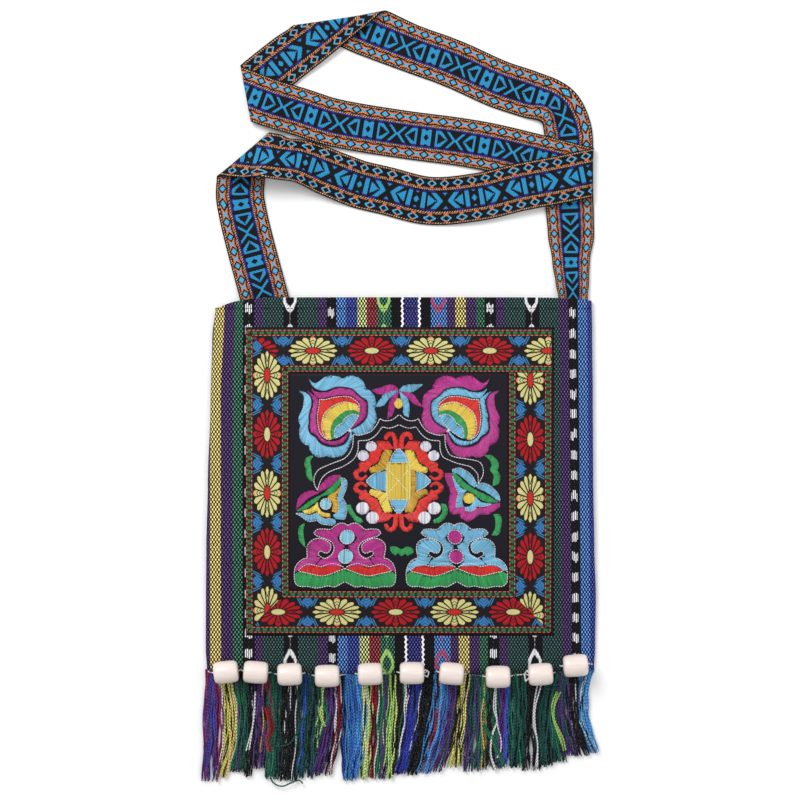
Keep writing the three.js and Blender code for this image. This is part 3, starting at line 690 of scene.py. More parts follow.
def satin_weave(along, across):
    grain = speckle(place_vector(along * 3.0, across * 0.6), 1.0)
    # Painted sheen: the grain mixes a lighter colour into the black, as the satin's gloss would.
    return paint(SATIN_DARK, grain * 0.35, SATIN_SHEEN), wave(along, 0.5) * 0.3 + grain


satin_material = cloth_material("black_satin", satin_weave, 0.5, 0.05)


def laid_on_front(name, corners, steps, low, high, material, places=lambda plan: plan):
    """A sheet on the front between two heights over it, on a patch given by its corners in turn."""
    a, b, c, d = (np.array(corner, dtype=float) for corner in corners)
    i = np.linspace(0, 1, steps[0] + 1)[:, None, None]
    j = np.linspace(0, 1, steps[1] + 1)[None, :, None]
    plan = mix(mix(a, b, i), mix(d, c, i), j)
    height = front_height(plan[..., 0], plan[..., 1])[..., None]
    upper, lower = (np.concatenate([plan, height + over], axis=2) for over in (high, low))
    return cloth_sheet(name, upper, lower, places(plan), material)


BACKING_RIM, LEFT_RIM = 1.7, 0.3
BACKING_LOW, BACKING_HIGH = 0.04, 0.24
PATCH_STEPS, RIBBON_STEPS = (60, 60), (180, 26)


def rectangle(left, right, bottom, top):
    return [(left, bottom), (right, bottom), (right, top), (left, top)]


inset = RIBBON_WIDTH + JOIN
satin_panel = laid_on_front(
    "satin_panel",
    rectangle(FRAME_LEFT + inset, FRAME_RIGHT_EDGE - inset, FRAME_BOTTOM + inset, FRAME_TOP - inset),
    PATCH_STEPS, SEAT, SEAT + PANEL_THICK, satin_material)
finish_piece(satin_panel, "panel_satin", "embroidered_panel")

backing = laid_on_front(
    "black_backing",
    rectangle(FRAME_LEFT - LEFT_RIM, FRAME_RIGHT_EDGE + BACKING_RIM,
              FRAME_BOTTOM - BACKING_RIM, FRAME_TOP + BACKING_RIM),
    PATCH_STEPS, BACKING_LOW, BACKING_HIGH, satin_material)
finish_piece(backing, "panel_satin")

# %% [markdown]
# ## Flowered ribbon
# The ribbon is a figured weave. Between two edge bands with dashes and green stars lie pointed oval
# flowers, yellow and red by turns, with blue half blossoms between them. A flower's petals are 16
# wedges in the angle round its middle, so the chart is written in that angle, then stepped to the
# threads. The ribbon runs round in one length, with three mitres.

# %% Ribbon colours and sizes
SALMON, DARK_RED, STAR_GREEN = colour(222, 128, 96), colour(122, 26, 30), colour(30, 124, 76)
PETAL_YELLOW, PETAL_RED = colour(214, 208, 136), colour(176, 24, 34)
EYE_RED, EYE_CREAM = colour(204, 48, 40), colour(228, 222, 150)
BLOSSOM, BLOSSOM_DARK = colour(60, 130, 182), colour(36, 84, 150)
RIBBON_GROUND, RIBBON_SHADE = colour(30, 22, 26), colour(16, 12, 14)
FLOWER_PITCH, FLOWER_LONG, FLOWER_TALL = 41.0, 16.9, 9.9
EYE_LONG, EYE_TALL = 4.8, 2.0
PETAL_TURN = 2 * pi / 16
EDGE_BAND = 4.95
THREAD_ALONG, THREAD_ACROSS = 0.35, 0.3


def oval(x, y):
    return (x * x + y * y).through("SQRT")


def ribbon_weave(place, side):
    u, w = threads(place, THREAD_ALONG), threads(side, THREAD_ACROSS)
    x, y = abs(repeat(u, FLOWER_PITCH)), abs(w)
    odd = ((u / FLOWER_PITCH + 0.5).through("FLOOR") * 0.5).through("FRACT").through("GREATER_THAN", 0.25)
    nx, ny = x / FLOWER_LONG, y / FLOWER_TALL
    petal = ny.through("ARCTAN2", nx) / PETAL_TURN
    aside = abs(petal - (petal + 0.5).through("FLOOR"))
    turning = oval(y * (FLOWER_LONG / FLOWER_TALL), x * (FLOWER_TALL / FLOWER_LONG))
    gap = (0.5 - aside) * PETAL_TURN * turning - 0.46
    lens = 0.955 + abs(nx - ny) * 0.045 - aside * aside
    eye = oval(x / EYE_LONG, y / EYE_TALL)
    petals = least(gap, (lens - oval(nx, ny)) * 10.0, (eye - 1.22) * 2.2)
    veins = least(0.22 - abs(y - (x - 9.4) * 0.26), between(x, 9.4, 14.0))
    chevrons = least(0.26 - abs(repeat(x * 0.75 + y - 5.5, 2.0)), 2.2 - x, between(y, 3.5, 8.2))
    petals = least(petals, most(veins, chevrons) * -1.0)
    away = abs(x - FLOWER_PITCH / 2)
    inward = FLOWER_TALL + 0.1 - y
    bud = least(1.0 - away / 4.1 - abs(inward - 2.6) / 5.0, inward)
    bud_lines = 0.4 - abs(repeat(away * 0.8 + inward - 4.6, 2.1))
    sprays = least(0.42 - abs(repeat(away + inward * 0.5 - 5.7, 1.5)),
                   between(away + inward * 0.5, 5.0, 8.1), 5.2 - inward - (away - 5.0) * 0.4, inward)
    rim = RIBBON_WIDTH / 2 - y
    dash = (u / 3.1 + rim * 0.12).through("FRACT").through("LESS_THAN", 0.55)
    rows = 0.3 - least(abs(rim - 0.75), abs(rim - 4.25))
    across_star = abs(repeat(u, 4.9))
    off_row = abs(rim - 2.5)
    star = least(1.55 - across_star, 0.35 + across_star * 0.5 - off_row * 0.62, 1.15 - off_row)
    star_spot = least(0.3 - abs(across_star - 2.45), 0.4 - off_row)
    tone = paint(RIBBON_GROUND, edge(petals), PETAL_YELLOW)
    red_tone = paint(RIBBON_GROUND, edge(petals), PETAL_RED)
    hatch = edge(0.16 - abs(repeat(u + w, 1.2)))
    yellow_eye = paint(EYE_RED, hatch * 0.5, DARK_RED)
    tips = edge(least(petals, y - 8.6, 2.6 - x))
    tone = paint(paint(tone, tips, SALMON), edge(1.0 - eye), yellow_eye)
    red_tone = paint(red_tone, edge(1.0 - eye), paint(EYE_CREAM, hatch * 0.6, RIBBON_GROUND))
    tone = paint(tone, odd, red_tone)
    tone = paint(tone, edge(bud * 3.0), BLOSSOM)
    tone = paint(tone, edge(least(bud * 3.0, bud_lines)), BLOSSOM_DARK)
    tone = paint(tone, edge(sprays), BLOSSOM)
    tone = paint(tone, edge(EDGE_BAND - rim), RIBBON_GROUND)
    tone = paint(tone, edge(rows), paint(DARK_RED, dash, SALMON))
    tone = paint(tone, edge(star), STAR_GREEN)
    tone = paint(tone, edge(star_spot), DARK_RED)
    grain = speckle(place_vector(place * 2.2, side * 0.8), 1.0)
    tone = paint(tone, (grain - 0.36) * 0.95, RIBBON_SHADE)
    raised = edge(most(petals, bud * 3.0, sprays, rows, star, 1.0 - eye), 0.5)
    ribs = wave(place, THREAD_ALONG * 2) * 0.18 + wave(side, THREAD_ACROSS * 2) * 0.1
    return tone, raised * 0.7 + ribs + grain * 0.3


ribbon_material = cloth_material("figured_flower_ribbon", ribbon_weave, 0.62, 0.22)

# %% The four lengths of ribbon, with their mitres
INNER_LEFT, INNER_RIGHT = FRAME_LEFT + RIBBON_WIDTH, FRAME_RIGHT_EDGE - RIBBON_WIDTH
INNER_BOTTOM, INNER_TOP = FRAME_BOTTOM + RIBBON_WIDTH, FRAME_TOP - RIBBON_WIDTH

# the corners of each length, and where the middle of one of its yellow flowers lies
RIBBONS = {
    "ribbon_top": (
        [(FRAME_LEFT + JOIN, FRAME_TOP), (FRAME_RIGHT_EDGE, FRAME_TOP),
         (FRAME_RIGHT_EDGE, INNER_TOP + JOIN), (INNER_LEFT + JOIN, INNER_TOP + JOIN)], "x", 21.4),
    "ribbon_left": (
        [(FRAME_LEFT, FRAME_BOTTOM + JOIN), (FRAME_LEFT, FRAME_TOP - JOIN),
         (INNER_LEFT - JOIN, INNER_TOP - JOIN), (INNER_LEFT - JOIN, INNER_BOTTOM + JOIN)], "y", -6.0),
    "ribbon_bottom": (
        [(FRAME_RIGHT_EDGE - JOIN, FRAME_BOTTOM), (FRAME_LEFT + JOIN, FRAME_BOTTOM),
         (INNER_LEFT + JOIN, INNER_BOTTOM - JOIN), (INNER_RIGHT - JOIN, INNER_BOTTOM - JOIN)], "x", 38.0),
    "ribbon_right": (
        [(FRAME_RIGHT_EDGE, INNER_TOP - JOIN), (FRAME_RIGHT_EDGE, FRAME_BOTTOM + JOIN),
         (INNER_RIGHT + JOIN, INNER_BOTTOM + JOIN), (INNER_RIGHT + JOIN, INNER_TOP - JOIN)], "y", -9.5),
}


def ribbon_places(corners, direction, flower):
    """The distance along the ribbon from a yellow flower, and the distance across from its middle."""
    along, across = (0, 1) if direction == "x" else (1, 0)
    middle = (corners[0][across] + corners[2][across]) / 2
    return lambda plan: np.stack([plan[..., along] - flower, plan[..., across] - middle], axis=2)


for name, (corners, direction, flower) in RIBBONS.items():
    ribbon = laid_on_front(
        "woven_" + name, corners, RIBBON_STEPS, SEAT, SEAT + RIBBON_THICK, ribbon_material,
        ribbon_places(corners, direction, flower))
    finish_piece(ribbon, "flower_ribbon", name)
    points = np.array(corners)
    length = float(np.ptp(points[:, 0 if direction == "x" else 1]))

# %% [markdown]
# ## Patterned strap
# One woven band leaves the mouth, turns in four flat folds and comes back. Its middle line is the
# same list of places as in the solid, and the half turns between the legs are worked out in the same
# way, only finer. The band is woven in reverse on its back, so its two sides have the same chart
# with the colours exchanged, and the folds show one side and then the other.

# %% The strap's route
STRAP_WIDTH, STRAP_THICK, STRAP_REACH, STRAP_TUCK = 33.6, 1.1, 200.0, 11.0
FOLD_RISE = 2.9 + STRAP_THICK
PUCKER_HEIGHT = 6.0
HALF_MOUTH = HALF_BAG * 0.967
LEG_SAMPLES, STATION_PITCH, STRAP_COLUMNS, FOLD_STATIONS = 160, 2.4, 20, 14
SLIDE_LENGTH, FADE_LENGTH = 2.5 * STRAP_WIDTH, 1.6 * STRAP_WIDTH
PUCKER = {"leg": 4, "across": 0.772, "above": 0.655, "side": -1, "length": 0.27}

# leg by leg: across the mouth, above it and lift, then width and turned-up edge in degrees,
# which are 1 and 0 where they are left out
STRAP_LEGS = (
    ((-0.703, -0.062, 0.34), (-0.721, 0.000, 0.34), (-0.764, 0.106, 0.1), (-0.806, 0.211, 0),
     (-0.838, 0.302, 0), (-0.852, 0.362, 0), (-0.846, 0.421, 0), (-0.841, 0.482, 0)),
    ((-0.841, 0.482, 1), (-0.772, 0.477, 0.95, 1, -10), (-0.697, 0.473, 0.6, 1, -30),
     (-0.548, 0.467, 0.1, 1, -24), (-0.381, 0.432, 0, 1, -8), (-0.213, 0.398, 0),
     (-0.090, 0.379, 0), (0.160, 0.341, 0), (0.426, 0.355, 0.55), (0.639, 0.388, 0.98),
     (0.852, 0.414, 1.25), (1.005, 0.435, 1.42)),
    ((1.005, 0.435, 0.42), (0.745, 0.482, 0.42), (0.410, 0.537, 0.1), (0.000, 0.575, 0),
     (-0.346, 0.613, 0.4), (-0.538, 0.652, 0.7), (-0.692, 0.682, 1.0), (-0.800, 0.709, 1.05)),
    ((-0.800, 0.709, 0.05), (-0.618, 0.816, 0.15), (-0.476, 0.893, 0.7), (-0.354, 0.962, 1)),
    ((-0.354, 0.962, 0), (-0.266, 0.937, 0), (-0.096, 0.899, 0), (0.081, 0.862, 0),
     (0.266, 0.825, 0), (0.522, 0.750, 0), (0.692, 0.712, 0), (0.830, 0.670, 0), (0.889, 0.596, 0),
     (0.900, 0.519, 0), (0.900, 0.432, 0), (0.902, 0.327, 0), (0.910, 0.222, 0, 0.96),
     (0.910, 0.127, 0.08, 0.78), (0.916, 0.061, 0.22, 0.7), (0.920, 0.000, 0.34, 0.61),
     (0.917, -0.062, 0.34, 0.6)),
)


def distances(points):
    """How far along a line each of its points lies."""
    return np.concatenate([[0], np.cumsum(np.linalg.norm(np.diff(points, axis=0), axis=1))])


class Leg:
    """The middle line of one leg, sampled so that it can be walked along."""

    def __init__(self, rows):
        rows = np.array([(*row, *(1, 0)[len(row) - 3:]) for row in rows], dtype=float)
        above = np.where(rows[:, 1] < 0, -STRAP_TUCK, rows[:, 1] * STRAP_REACH)
        spots = np.column_stack([rows[:, 0] * HALF_MOUTH, BAG_HEIGHT / 2 + above])
        chords = distances(spots)
        before = np.maximum(np.arange(len(spots)) - 1, 0)
        after = np.minimum(np.arange(len(spots)) + 1, len(spots) - 1)
        slopes = (spots[after] - spots[before]) / (chords[after] - chords[before])[:, None]
        place = np.linspace(0, chords[-1], LEG_SAMPLES + 1)
        i = np.clip(np.searchsorted(chords, place, side="right") - 1, 0, len(spots) - 2)
        span = chords[i + 1] - chords[i]
        t = (place - chords[i]) / span
        a, b = spots[i], spots[i + 1]
        m, n = slopes[i] * span[:, None], slopes[i + 1] * span[:, None]
        t = t[:, None]
        self.spots = ((2 * t ** 3 - 3 * t ** 2 + 1) * a + (t ** 3 - 2 * t ** 2 + t) * m
                      + (3 * t ** 2 - 2 * t ** 3) * b + (t ** 3 - t ** 2) * n)
        self.extras = mix(rows[i, 2:], rows[i + 1, 2:], smooth(t))
        self.along = distances(self.spots)
        self.length = float(self.along[-1])

    def walk(self, distance):
        """The place, heading, lift, width and tilt there. Past its ends the leg goes straight on."""
        inside = min(self.length, max(0.0, distance))
        i = int(np.clip(np.searchsorted(self.along, inside, side="left") - 1, 0, LEG_SAMPLES - 1))
        t = (inside - self.along[i]) / (self.along[i + 1] - self.along[i])
        heading = self.spots[i + 1] - self.spots[i]
        heading = heading / hypot(*heading)
        spot = mix(self.spots[i], self.spots[i + 1], t) + heading * (distance - inside)
        return spot, heading, mix(self.extras[i], self.extras[i + 1], t)


legs = [Leg(rows) for rows in STRAP_LEGS]
print("strap legs of", [round(leg.length) for leg in legs], "mm")

# %% The turns between the strap's legs


def left_of(v):
    return np.array([-v[1], v[0]])


def strap_level(lift):
    return STRAP_THICK / 2 + 0.2 + lift * FOLD_RISE


def strap_fold(before, after):
    """The turn between two legs: its crease, the way out of the strap, levels, radius and shift."""
    place, inward, (lift_in, *_) = before.walk(before.length)
    next_place, outward, (lift_out, *_) = after.walk(0.0)
    angle = (atan2(inward[1], inward[0]) + atan2(outward[1], outward[0])) / 2
    crease = np.array([cos(angle), sin(angle)])
    out = left_of(crease)
    if out @ inward < 0:
        out = -out
    low, high = strap_level(lift_in), strap_level(lift_out)
    radius = abs(high - low) / 2
    drift = pi * radius * (crease @ inward) / (out @ inward)
    return {"crease": crease, "out": out, "low": low, "high": high, "radius": radius,
            "shift": place + crease * drift - next_place}


folds = [strap_fold(a, b) for a, b in zip(legs, legs[1:])]
print("strap folds rise", [round(fold["high"] - fold["low"], 1) for fold in folds], "mm")

# %% The strap's lines across, leg by leg


def puckered(point, heading, side):
    """A point of the band, with the pucker pushing one edge up and inwards near the corner."""
    x = PUCKER["across"] * HALF_MOUTH
    y = BAG_HEIGHT / 2 + PUCKER["above"] * STRAP_REACH
    near = hypot(point[0] - x, point[1] - y) / (PUCKER["length"] * STRAP_WIDTH)
    share = float(np.clip((1 + side * PUCKER["side"]) / 2, 0, 1)) ** 2 * np.exp(-near ** 2)
    out = left_of(heading) * (-PUCKER["side"] * PUCKER_HEIGHT * share)
    return point + np.array([out[0], out[1], PUCKER_HEIGHT * share])


def leg_stations(leg, number, before, after):
    """The lines across one leg. They lean towards the crease at each of its ends."""
    flip = 1 if number % 2 == 0 else -1

    def shear_by(fold, heading):
        return fold["crease"] @ heading / (fold["crease"] @ left_of(heading)) if fold else 0.0

    shear_in = shear_by(before, leg.walk(0.0)[1])
    shear_out = shear_by(after, leg.walk(leg.length)[1])
    fade = min(leg.length / 2, FADE_LENGTH)
    steps = int(np.ceil(leg.length / STATION_PITCH))
    stations = []
    for along in np.linspace(0, leg.length, steps + 1):
        shear = (shear_in * np.clip(1 - along / fade, 0, 1)
                 + shear_out * np.clip(1 - (leg.length - along) / fade, 0, 1))
        slide = np.clip(1 - along / min(leg.length, SLIDE_LENGTH), 0, 1) if before else 0.0
        _, _, (lift, wide, tilt) = leg.walk(along)
        tilt = radians(tilt)
        half = STRAP_WIDTH * wide / 2
        points = []
        for share in np.linspace(-1, 1, STRAP_COLUMNS + 1):
            offset = flip * half * share
            spot, heading, _ = leg.walk(along + offset * shear)
            plan = spot + left_of(heading) * (offset * cos(tilt))
            if before:
                plan = plan + before["shift"] * slide
            height = strap_level(lift) + half * abs(sin(tilt)) + offset * sin(tilt)
            point = np.array([plan[0], plan[1], height])
            if number == PUCKER["leg"]:
                point = puckered(point, heading, offset / half)
            points.append(point)
        stations.append((np.array(points), np.array([0.0, 0.0, flip])))
    return stations


def fold_between(last, first, fold):
    """The half turn that joins the last line of one leg to the first line of the next."""
    rising = np.sign(fold["high"] - fold["low"])
    stations = []
    for k in range(1, FOLD_STATIONS):
        angle = -pi / 2 + pi * k / FOLD_STATIONS
        points = mix(last[0], first[0], k / FOLD_STATIONS)
        points[:, :2] += fold["out"] * (fold["radius"] * cos(angle))
        points[:, 2] = mix(fold["low"], fold["high"], (1 + sin(angle)) / 2)
        normal = np.array([*(fold["out"] * cos(angle)), rising * sin(angle)])
        stations.append((points, normal * (-rising * last[1][2])))
    return stations


stations = []
for number, leg in enumerate(legs):
    before = folds[number - 1] if number else None
    after = folds[number] if number < len(folds) else None
    made = leg_stations(leg, number, before, after)
    if before:
        stations += fold_between(stations[-1], made[0], before)
    stations += made
print("strap:", len(stations), "lines across")

# %% [markdown]
# The chart of the strap mirrors itself at the small lozenges and at the crossings, so only the
# distance from the nearest lozenge matters. Bars, stepped triangles and arrows are bands of that
# distance and of the distance from the middle. The borders repeat four times as often.

# %% The strap's chart
TURQUOISE, STRAP_INDIGO, STRAP_BLACK = colour(48, 156, 210), colour(46, 44, 138), colour(18, 16, 22)
ORANGE, DOT_CREAM, PALE_BLUE = colour(236, 128, 70), colour(240, 214, 170), colour(92, 184, 228)
# Dark for the random grain, and painted shade for the sunk rows.
STRAP_GRAIN_AND_ROW_SHADE = colour(12, 12, 18)
STRAP_PERIOD, BORDER_PERIOD = 41.0, 10.25
CENTRE_HALF, STRAP_HALF = 7.7, STRAP_WIDTH / 2
BORDER_MIDDLE = 12.2


def strap_weave(place, side, face_up):
    """face_up is the side with the orange borders."""
    u, w = threads(place, 0.5), threads(side, 0.42)
    q = u.through("PINGPONG", STRAP_PERIOD / 2)
    y = abs(w)
    step = threads(q, 1.15)
    bar = between(q, 3.3, 6.7)
    lozenge = 1.9 - q - y * 0.75
    lozenge = most(lozenge, least(1.7 - q, y - 4.4 - q * 0.8, 6.3 - y))
    triangle = least(step - 8.2, 13.7 - step - y * 1.3)
    arrow = least(18.9 - y * 0.87 - q, q - 15.2 + y * 0.87)
    notch = least(q - 20.9 + y * 0.87, 7.0 - y)
    if not face_up:
        notch = least(q - 20.5 + (y - 3.7) * 0.9, 6.4 - y)
    figure = least(most(bar, lozenge, triangle, arrow, notch), 6.9 - y)
    border_q = abs(repeat(u, BORDER_PERIOD))
    border_y = abs(y - BORDER_MIDDLE)
    ring = border_q * 0.78 + border_y
    near_edge = edge(y - 5.6)
    off_cord = least(abs(y - CENTRE_HALF - 0.45), abs(STRAP_HALF - y - 1.15))
    dots = least(0.45 - off_cord, 0.36 - abs(repeat(place + y, 1.7)))
    if face_up:
        ground = paint(paint(TURQUOISE, near_edge, STRAP_INDIGO), edge(figure), STRAP_BLACK)
        border = paint(ORANGE, edge(0.5 - abs(border_y - 3.3 + border_q * 0.2)), STRAP_BLACK)
        wedge = least(border_q - 2.7, 1.4 - border_y + (border_q - 5.1) * 0.4)
        border = paint(border, edge(wedge), PALE_BLUE)
        border = paint(border, edge(3.1 - ring), STRAP_BLACK)
        border = paint(border, edge(1.9 - ring), PALE_BLUE)
    else:
        tint = paint(TURQUOISE, near_edge, STRAP_INDIGO)
        ground = paint(STRAP_BLACK, edge(most(figure, least(y - 6.3, 2.4 - abs(q - 10.6)))), tint)
        border = paint(STRAP_BLACK, edge(least(border_y - 2.7, 1.3 - abs(border_q - 0.2))), ORANGE)
        border = paint(border, edge(least(border_y - 3.1, 1.0 - abs(border_q - 4.0))), ORANGE)
        outline = paint(PALE_BLUE, edge(border_y - 1.7), ORANGE)
        border = paint(border, edge(0.62 - abs(ring - 2.4)), outline)
    tone = paint(border, edge(CENTRE_HALF - y), ground)
    tone = paint(tone, edge(0.75 - off_cord), STRAP_BLACK)
    tone = paint(tone, edge(dots), paint(DOT_CREAM, wave(place, 6.0) * 0.5 + 0.3, ORANGE))
    tone = paint(tone, edge(0.8 - (STRAP_HALF - y)), STRAP_BLACK)
    grain = speckle(place_vector(place * 1.2, side * 3.0), 1.0)
    # Painted shade: thin sunk rows across the band are darkened, together with darker random grain.
    sunk_row_shade = edge(0.22 - abs(repeat(place + wave(side, 2.4) * 0.3, 1.35)), 0.3) * 0.6
    tone = paint(tone, most(sunk_row_shade, (grain - 0.36) * 0.95), STRAP_GRAIN_AND_ROW_SHADE)
    raised = edge(most(figure, 1.9 - ring), 0.6)
    cords = wave(side, 0.84) * 0.2 + wave(place + side * 0.6, 1.0) * 0.15
    return tone, raised * 0.6 + cords + grain * 0.4


strap_face, strap_back = (
    cloth_material(name, lambda place, side, up=up: strap_weave(place, side, up), 0.66, 0.25)
    for name, up in (("strap_orange_side", True), ("strap_dark_side", False)))

# %% The strap as one folded band
CHART_START = 3.0


def strap_places(lines):
    """How far along the band each line lies, measured down its middle, and across it."""
    middle = lines[:, STRAP_COLUMNS // 2]
    along = distances(middle)
    shares = np.linspace(-1, 1, STRAP_COLUMNS + 1) * STRAP_WIDTH / 2
    heading = np.gradient(middle, axis=0)
    heading /= np.linalg.norm(heading, axis=1)[:, None]
    ahead = np.einsum("ijk,ik->ij", lines - middle[:, None], heading)
    places = np.stack([along[:, None] + ahead + CHART_START, np.broadcast_to(shares, ahead.shape)], axis=2)
    return places, along[-1]


lines = np.array([points for points, _ in stations])
normals = np.array([normal for _, normal in stations])[:, None]
places, strap_length = strap_places(lines)
woven_strap = cloth_sheet(
    "woven_strap", lines + normals * STRAP_THICK / 2, lines - normals * STRAP_THICK / 2,
    places, strap_face, under=strap_back)
finish_piece(woven_strap, "strap_webbing", "shoulder_strap")
print("strap length", round(strap_length), "mm")

# %% [markdown]
# ## Wooden barrel beads
# Ten beads of pale wood lie along the hem. Each is turned on a lathe, so it is a spun profile with
# a drilled bore, with soft shoulders. Pale wood has a faint long grain, which the material draws as
# noise that is stretched along the bead.

# %% The pale wood
WOOD_PALE, WOOD_GRAIN = colour(240, 228, 220), colour(222, 206, 198)
GRAIN_SCALE = (120.0, 700.0, 700.0)


def wood_material():
    material, tree, shader = new_material("pale_turned_wood", 0.5)
    stretch = tree.nodes.new("ShaderNodeMapping")
    feed(stretch.inputs["Scale"], GRAIN_SCALE)
    feed(stretch.inputs["Vector"], tree.nodes.new("ShaderNodeTexCoord").outputs["Object"])
    grain = speckle(stretch.outputs[0], 1.0, 4.0)
    dress(shader, paint(WOOD_PALE, grain, WOOD_GRAIN), grain, 0.05)
    feed(shader.inputs["Coat Weight"], 0.5)
    feed(shader.inputs["Coat Roughness"], 0.12)
    feed(shader.inputs["Roughness"], grain * 0.2 + 0.34)
    return material


pale_wood = wood_material()

# %% The beads in their places
BEAD_LENGTH, BEAD_WIDE, BEAD_BORE, BEAD_SIDES = 17.0, 15.6, 5.6, 40
# across the bag, rise over the hem, turn in degrees
BEAD_ROW = (
    (-0.891, 0.0, 6), (-0.739, 0.04, -4), (-0.565, -0.01, 2), (-0.373, -0.05, 1), (-0.153, 0.06, 2),
    (0.061, 0.11, 0), (0.264, 0.07, -5), (0.502, -0.11, 1), (0.72, -0.05, 4), (0.899, 0.29, 5))


def bead_profile():
    """Half the length, then half the width, round the bead's wall from bore to bore."""
    shoulder = [(1.0, 0.60), (0.985, 0.70), (0.94, 0.81), (0.86, 0.895), (0.74, 0.95), (0.55, 0.982),
                (0.28, 0.996), (0.0, 1.0)]
    outside = shoulder + [(-x, r) for x, r in shoulder[-2::-1]]
    bore = BEAD_BORE / BEAD_WIDE
    return np.array([(1.0, bore + 0.03)] + outside + [(-1.0, bore + 0.03), (-0.97, bore), (0.97, bore)])


def bead_place(across, rise, turn):
    x, y = across * HALF_BAG, float(hem_y(across)) + rise * BEAD_WIDE
    radius = BEAD_WIDE / 2
    sinks = [float(front_height(x + dx, y + dy)) - (radius - (radius ** 2 - dy ** 2) ** 0.5)
             for dx in (-BEAD_LENGTH / 2, 0, BEAD_LENGTH / 2) for dy in (-1, 0, 2, 4)]
    return np.array([x, y, max(sinks) + SEAT + radius]), radians(turn)


def bead(name, spot, turn):
    outline = bead_profile() * [BEAD_LENGTH / 2, BEAD_WIDE / 2]
    angle = np.linspace(0, 2 * pi, BEAD_SIDES, endpoint=False)[:, None]
    out, wide = outline[:, 0], outline[:, 1]
    local = np.stack([out + 0 * angle, wide * np.cos(angle), wide * np.sin(angle)], axis=2)
    x = local[..., 0] * cos(turn) - local[..., 1] * sin(turn)
    y = local[..., 0] * sin(turn) + local[..., 1] * cos(turn)
    points = np.stack([x, y, local[..., 2]], axis=2) + spot
    ring = len(outline)
    faces = []
    for s in range(BEAD_SIDES):
        a, b = s * ring, (s + 1) % BEAD_SIDES * ring
        faces += [[a + k, b + k, b + (k + 1) % ring, a + (k + 1) % ring] for k in range(ring)]
    return make_mesh(name, points.reshape(-1, 3), faces, material=pale_wood)


bead_spots = [bead_place(*row) for row in BEAD_ROW]
for number, (spot, turn) in enumerate(bead_spots, 1):
    finish_piece(bead(f"turned_bead_{number:02d}", spot, turn), "bead_wood", f"bead_{number:02d}")

# %% [markdown]
# ## Threads that are really there
# Embroidery floss, bead thread and fringe yarn are all the same kind of thing: a line of fibre with
# some thickness. One Geometry Nodes tree makes them all. It turns the edges of a mesh into curves,
# gives each its points and its arch, and sweeps a flattened ring along it. It also writes where a
# place lies along and round the yarn, from which the material draws the twist, with painted shade
# in its grooves.


# %% The tree that lays threads
def laid_threads_tree():
    tree = bpy.data.node_groups.new("LaidThreads", "GeometryNodeTree")
    tree.interface.new_socket("Runs", in_out="INPUT", socket_type="NodeSocketGeometry")
    for title, kind, value in (
            ("Thread Radius", "NodeSocketFloat", 0.2 * MM), ("Points", "NodeSocketInt", 5),
            ("Sides", "NodeSocketInt", 4), ("Arch", "NodeSocketFloat", 0.3 * MM),
            ("Flatness", "NodeSocketFloat", 0.7)):
        tree.interface.new_socket(title, in_out="INPUT", socket_type=kind).default_value = value
    tree.interface.new_socket("Fibre", in_out="INPUT", socket_type="NodeSocketMaterial")
    tree.interface.new_socket("Threads", in_out="OUTPUT", socket_type="NodeSocketGeometry")
    source, sink = tree.nodes.new("NodeGroupInput"), tree.nodes.new("NodeGroupOutput")

    def step(kind, inputs, **settings):
        node = tree.nodes.new(kind)
        for setting, value in settings.items():
            setattr(node, setting, value)
        for title, value in inputs.items():
            feed(node.inputs[title], value)
        return node

    given = source.outputs
    curve = step("GeometryNodeMeshToCurve", {"Mesh": given["Runs"]}).outputs[0]
    curve = step("GeometryNodeResampleCurve", {"Curve": curve, "Count": given["Points"]}).outputs[0]
    spline = step("GeometryNodeSplineParameter", {})
    share, along = Wire(spline.outputs["Factor"]), spline.outputs["Length"]
    length = Wire(step("GeometryNodeSplineLength", {}).outputs["Length"])
    bow = 1.0 - (share * 2.0 - 1.0) * (share * 2.0 - 1.0)
    rise = least(Wire(given["Arch"]), length * 0.22) * bow
    lift = step("ShaderNodeCombineXYZ", {"Z": rise}).outputs[0]
    curve = step("GeometryNodeSetPosition", {"Geometry": curve, "Offset": lift}).outputs[0]
    thickness = step("GeometryNodeInputNamedAttribute", {"Name": "thickness"}, data_type="FLOAT")
    radius = Wire(given["Thread Radius"]) * Wire(thickness.outputs["Attribute"])
    curve = step("GeometryNodeSetCurveNormal", {"Curve": curve}, mode="Z_UP").outputs[0]
    curve = step("GeometryNodeStoreNamedAttribute",
                 {"Geometry": curve, "Name": "along_yarn", "Value": along}, data_type="FLOAT").outputs[0]
    ring = step("GeometryNodeCurvePrimitiveCircle",
        {"Resolution": given["Sides"], "Radius": 1.0}).outputs[0]
    flat = step("ShaderNodeCombineXYZ", {"X": 1.0, "Y": given["Flatness"], "Z": 1.0}).outputs[0]
    ring = step("GeometryNodeTransform", {"Geometry": ring, "Scale": flat}).outputs[0]
    around = step("GeometryNodeSplineParameter", {}).outputs["Factor"]
    ring = step("GeometryNodeStoreNamedAttribute",
                {"Geometry": ring, "Name": "round_yarn", "Value": around}, data_type="FLOAT").outputs[0]
    mesh = step("GeometryNodeCurveToMesh",
                {"Curve": curve, "Profile Curve": ring, "Scale": radius, "Fill Caps": True}).outputs[0]
    mesh = step("GeometryNodeSetShadeSmooth", {"Geometry": mesh}).outputs[0]
    mesh = step("GeometryNodeRealizeInstances", {"Geometry": mesh}).outputs[0]
    mesh = step("GeometryNodeSetMaterial", {"Geometry": mesh, "Material": given["Fibre"]}).outputs[0]
    tree.links.new(mesh, sink.inputs["Threads"])
    return tree


threads_tree = laid_threads_tree()
TWIST_SEED = 3
# Painted shade for the grooves of the yarn's twist.
GROOVE_PAINTED_SHADE = colour(14, 12, 18)

